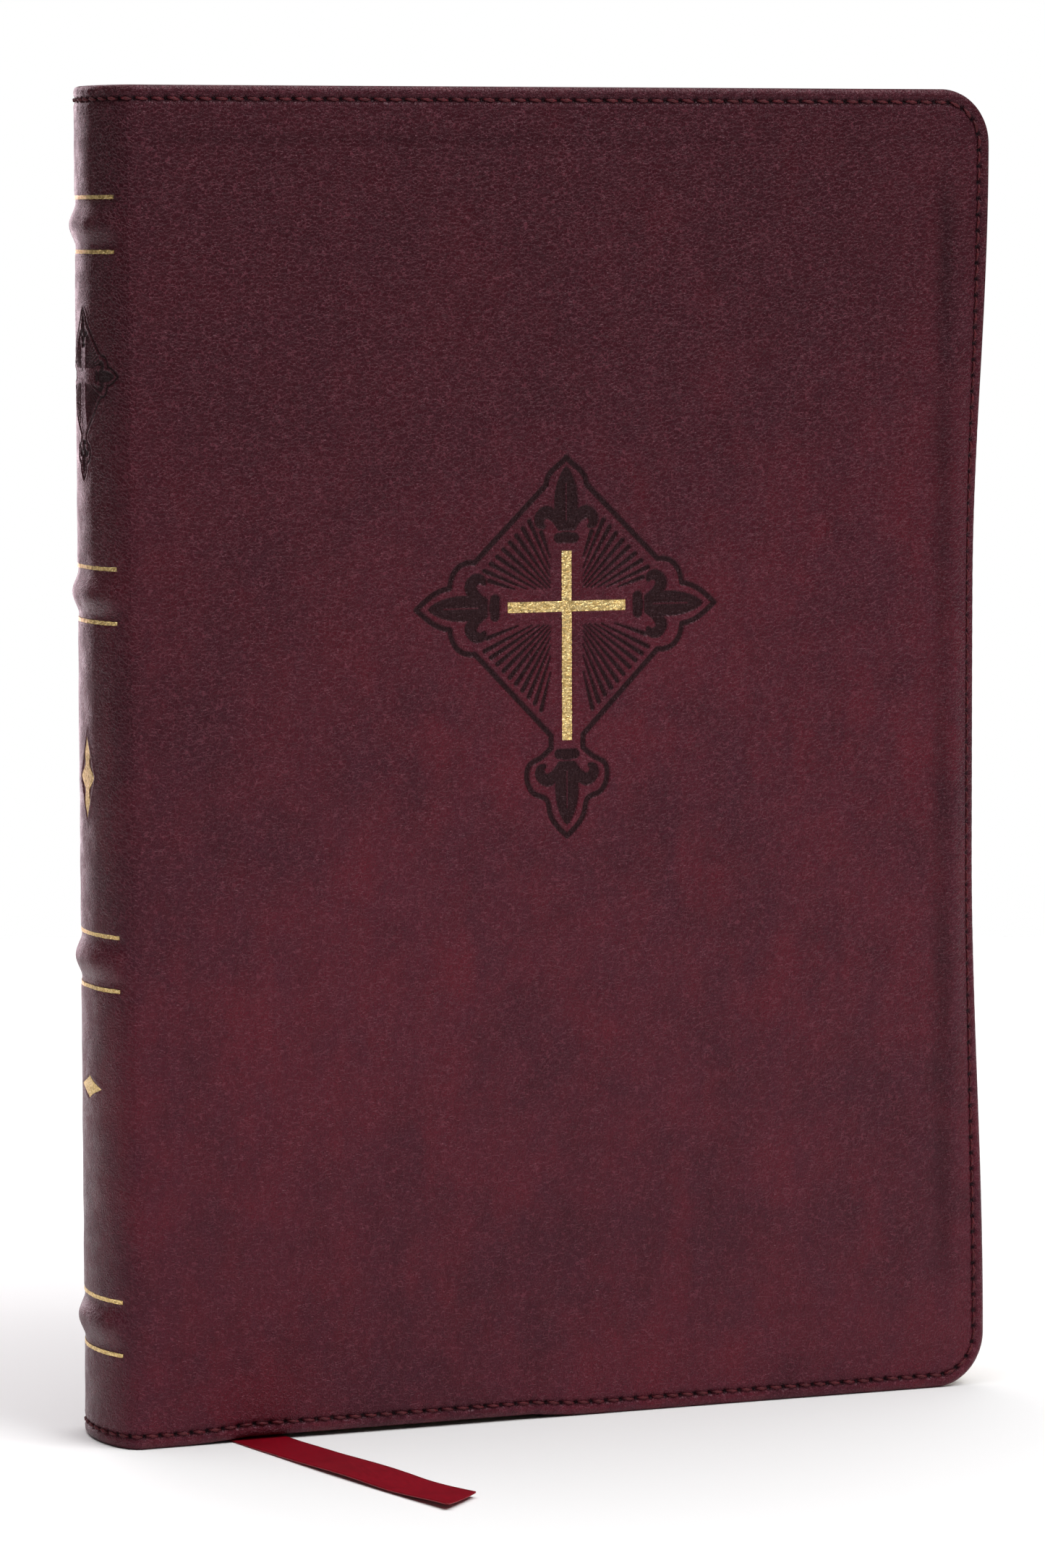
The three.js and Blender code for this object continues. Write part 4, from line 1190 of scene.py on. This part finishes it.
for name, half_u, half_z in ORNAMENTS:
    rise = np.linspace(-1, 1, 61)
    tall = half_z > half_u
    waist = 0.72 + 0.28 * np.cos(rise * math.pi * 3) if tall else 0.8 + 0.2 * np.cos(rise * math.pi)
    width = np.maximum((1 - np.abs(rise)) * waist * half_u, 0.06)
    spread = np.linspace(-1, 1, 21)
    shape_u = width[:, None] * spread[None, :]
    shape_z = ornament_centre(name) + half_z * rise[:, None] + 0 * shape_u
    make_spine_foil(name.replace("spine_foil", "foil"), name, shape_u, shape_z)


# ---------------------------------------------------------------- endpapers, flyleaves and pages

SHARP_EDGE = math.radians(40)
BOARD_SHARP_EDGE = math.radians(50)
PAGE_CORNER = 5.9


def corner_lift(along, radius):
    """How far a rounded corner of the fore edge has come in at each place along a sheet."""
    past = np.maximum(along - (along[-1] - radius), 0)
    return radius - np.sqrt(np.maximum(radius ** 2 - past ** 2, 0))


def sheet_faces(rows, columns):
    """Faces of a thin sheet made of two like grids: both sides, and the rim between them."""
    shift = rows * columns
    sides = grid_faces(rows, columns)
    sides += [tuple(shift + k for k in f[::-1]) for f in grid_faces(rows, columns)]
    rim = list(range(columns)) + [r * columns + columns - 1 for r in range(1, rows)]
    rim += [(rows - 1) * columns + c for c in range(columns - 2, -1, -1)]
    rim += [r * columns for r in range(rows - 2, 0, -1)]
    return sides, [(q, p, p + shift, q + shift) for p, q in zip(rim, rim[1:] + rim[:1])]


def make_slab(xs, low_z, high_z, near, far, rim_slot):
    """Parts of a thin upright sheet: its two faces on the same columns, and its rim."""
    lift = corner_lift(xs, PAGE_CORNER)
    low, high = low_z + lift, high_z - lift
    fractions = np.linspace(0, 1, 5)
    zs = low + (high - low) * fractions[:, None]
    x = np.broadcast_to(xs, zs.shape)
    points = np.vstack([np.stack([x, np.broadcast_to(y, zs.shape), zs], -1).reshape(-1, 3)
                        for y in (near, far)])
    sides, rim = sheet_faces(*zs.shape)
    return points, sides + rim, [0] * len(sides) + [rim_slot] * len(rim)


def make_inner_sheet(side, name, replaced, material, s, corner, tuck, wave):
    """A board or endpaper that lies inside a cover and takes the cover's own curve."""
    low, high = box_mm(replaced)
    outer_depth = HALF - max(abs(low[1]), abs(high[1])) + tuck
    inner_depth = HALF - min(abs(low[1]), abs(high[1]))
    fractions = np.concatenate([[0, 0.004, 0.012], np.linspace(0.03, 0.97, 26), [0.988, 0.996, 1.0]])
    lift = corner_lift(s, corner)
    base, top = low[2] + lift, high[2] - lift
    z = base + (top - base) * fractions[:, None]
    grid_s = np.broadcast_to(s, z.shape)
    faces_out = on_cover(grid_s, z, outer_depth + 0 * z, side)
    faces_in = on_cover(grid_s, z, inner_depth + wave * lumps(grid_s, z, 30, 77 + side), side)
    sides, rim = sheet_faces(*z.shape)
    faces = sides + rim
    if side == BACK:
        faces = [f[::-1] for f in faces]
    points = np.vstack([faces_out.reshape(-1, 3), faces_in.reshape(-1, 3)])
    piece = make_piece(name, points, faces, [material])
    piece.data.set_sharp_from_angle(angle=BOARD_SHARP_EDGE)
    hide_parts(replaced)
    return piece


for side, word in ((FRONT, "front"), (BACK, "back")):
    s_end = box_mm(f"{word}_pasted_endpaper")[1][0] - HINGE_X
    paper_s = np.concatenate([np.arange(0.6, 8, 0.5), np.arange(8, FORE_BEND_START - 2, 5.0),
                              np.linspace(FORE_BEND_START - 1.5, s_end, 14)])
    paper = make_inner_sheet(side, f"{word}_endpaper_sheet", f"{word}_pasted_endpaper", ENDPAPER,
                             paper_s, 6.0, 0.0, 0.02)
    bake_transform(paper)
    board_s = np.linspace(BOARD_LOW[0], BOARD_HIGH[0], 40) - HINGE_X
    board = make_inner_sheet(side, f"{word}_board_sheet", f"{word}_cover_board", CARD,
                             board_s, 5.0, 0.5, 0.0)
    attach(board, f"{word}_cover")


TEXT_HALF = max(abs(TEXT_LOW[1]), abs(TEXT_HIGH[1]))
SPINE_ROUND, FORE_HOLLOW = 1.2, 2.6


def text_columns(y, slip):
    """Columns of a leaf at offset y, closer together where it bends beside the fold."""
    round_off = 1 - (y / TEXT_HALF) ** 2
    back = TEXT_SPINE_X - SPINE_ROUND * round_off
    fore = TEXT_FORE_X - FORE_HOLLOW * round_off + slip
    near = np.linspace(back, back + 26, 27)
    return np.concatenate([near, np.linspace(near[-1] + 8, fore - 7, 12), fore - 6 * (1 - np.sin(
        np.linspace(0.12, 1, 7) * math.pi / 2))])


TEXT_SPINE_X = box_mm("front_flyleaf")[0][0]
TEXT_FORE_X = box_mm("front_flyleaf")[1][0]
LEAVES_PER_SECTION = 14


def make_leaves(name, replaced, faces_y, leaves, materials):
    rng = np.random.default_rng(sum(map(ord, replaced)))
    low, high = box_mm(replaced)
    every, faces, slots, start = [], [], [], 0
    cuts = np.linspace(faces_y[0], faces_y[1], leaves + 1)
    for near, far in zip(cuts[:-1], cuts[1:]):
        slip, foot, head = rng.normal(0, 0.05, 3)
        columns = text_columns((near + far) / 2, slip)
        gap = 0.004 if leaves > 1 else 0
        points, some, kinds = make_slab(columns, low[2] + 0.08 + abs(foot), high[2] - 0.08 - abs(head),
                                        near + gap, far - gap, rim_slot=len(materials) - 1)
        every.append(points)
        faces += [tuple(start + k for k in f) for f in some]
        slots += kinds
        start += len(points)
    piece = make_piece(name, np.vstack(every), faces, materials, face_slots=slots)
    piece.data.set_sharp_from_angle(angle=SHARP_EDGE)
    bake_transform(piece)
    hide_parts(replaced)


for side, word in ((FRONT, "front"), (BACK, "back")):
    low, high = box_mm(f"{word}_flyleaf")
    make_leaves(f"{word}_flyleaf_sheet", f"{word}_flyleaf", (low[1], high[1]), 1,
                [ENDPAPER, ENDPAPER])

for number in range(1, 11):
    name = f"page_section_{number:02d}"
    low, high = box_mm(name)
    make_leaves(f"page_leaves_{number:02d}", name, (low[1], high[1]), LEAVES_PER_SECTION,
                [PAGE, GILT])


# ---------------------------------------------------------------- head and tail bands

def make_band(name, replaced):
    low, high = box_mm(replaced)
    ribs = 40
    ys = np.linspace(low[1], high[1], ribs * 6 + 1)
    turn = np.linspace(0, 2 * math.pi, 14, endpoint=False)
    phase = (ys - low[1]) / (high[1] - low[1]) * ribs
    radius = (high[2] - low[2]) / 2
    swell = radius * (0.90 + 0.10 * np.abs(np.sin(phase * math.pi)))
    taper = np.minimum(1, np.minimum(ys - low[1], high[1] - ys) / 0.5 * 0.8 + 0.2)
    middle_x = (low[0] + SPINE_ROUND * 1.0) - SPINE_ROUND * (1 - (ys / TEXT_HALF) ** 2) + radius * 0.8
    x = middle_x[:, None] + (swell * taper)[:, None] * np.cos(turn) * 0.8
    z = (low[2] + high[2]) / 2 + (swell * taper)[:, None] * np.sin(turn)
    y = np.broadcast_to(ys[:, None], x.shape)
    faces = [f[::-1] for f in grid_faces(len(ys), len(turn), wrap=True)]
    last = (len(ys) - 1) * len(turn)
    faces += [tuple(range(len(turn))), tuple(last + k for k in range(len(turn)))[::-1]]
    stripe = np.broadcast_to((np.floor(phase / 2) % 2)[:, None], x.shape)
    piece = make_piece(name, np.stack([x, y, z], -1).reshape(-1, 3), faces, [BANDS],
                       {"stripe": stripe.ravel()})
    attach(piece, "spine")
    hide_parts(replaced)


make_band("head_band_silk", "head_band")
make_band("tail_band_silk", "tail_band")


# ---------------------------------------------------------------- carried-over CAD pieces

def dress(name, material):
    piece = bpy.data.objects[name]
    for slot in piece.material_slots:
        slot.link = "OBJECT"
        slot.material = material
    if not piece.material_slots:
        piece.data.materials.append(material)


dress("spine_card_liner", CARD)
for number in range(1, 5):
    dress(f"raised_band_core_{number}", CARD)
    dress(f"sewing_thread_{number}", SEWING)
dress("spine_gauze", GAUZE)


# ---------------------------------------------------------------- floor and light

def floor_material():
    material, tree, shader = new_material("pale_floor")
    spot = place(tree)
    tone = mix(tree, noise(tree, spot, 3.0), rgb(0.93, 0.93, 0.93), rgb(0.95, 0.95, 0.95))
    tree.links.new(tone, shader.inputs["Base Color"])
    shader.inputs["Roughness"].default_value = 0.6
    return material


def make_floor():
    """A round pale table top, wider than any view of the book needs."""
    radii = np.array([60, 150, 300, 450, 600, 760.0])
    turn = np.linspace(0, 2 * math.pi, 64, endpoint=False)
    rings = [np.stack([r * np.cos(turn), r * np.sin(turn), 0 * turn], -1) for r in radii]
    faces = [f[::-1] for f in grid_faces(len(radii), 64, wrap=True)] + [tuple(range(64))]
    floor = make_piece("studio_floor", np.vstack(rings), faces, [floor_material()])


make_floor()


def soft_light(name, place_at, aim, width, height, power, tint=(1, 1, 1)):
    data = bpy.data.lights.new(name, "AREA")
    data.shape = "RECTANGLE"
    data.size, data.size_y = width, height
    data.energy = power
    data.color = tint
    lamp = bpy.data.objects.new(name, data)
    lamp.location = place_at
    lamp.rotation_euler = (Vector(aim) - Vector(place_at)).to_track_quat("-Z", "Y").to_euler()
    bpy.context.scene.collection.objects.link(lamp)


BOOK = (0, 0, 0.12)
soft_light("overhead_softbox", (0.0, 0.25, 1.7), (0, 0.2, 0), 2.0, 2.0, 34)
soft_light("key_softbox", (0.7, -1.15, 1.75), (0, -0.1, 0.0), 1.2, 1.0, 29)
soft_light("back_softbox", (-0.06, 1.6, 0.3), BOOK, 0.52, 1.2, 9.0, (1.0, 0.78, 0.86))

world = bpy.data.worlds.new("studio")
world.use_nodes = True
bpy.context.scene.world = world
sky = world.node_tree
seen = sky.nodes.new("ShaderNodeLightPath").outputs["Is Camera Ray"]
level = sky.nodes.new("ShaderNodeMapRange")
level.inputs["To Min"].default_value = 0.08
level.inputs["To Max"].default_value = 1.0
sky.links.new(seen, level.inputs["Value"])
sky.links.new(level.outputs["Result"], sky.nodes["Background"].inputs["Strength"])
sky.nodes["Background"].inputs["Color"].default_value = (1, 1, 1, 1)
bpy.context.scene.view_settings.view_transform = "Standard"
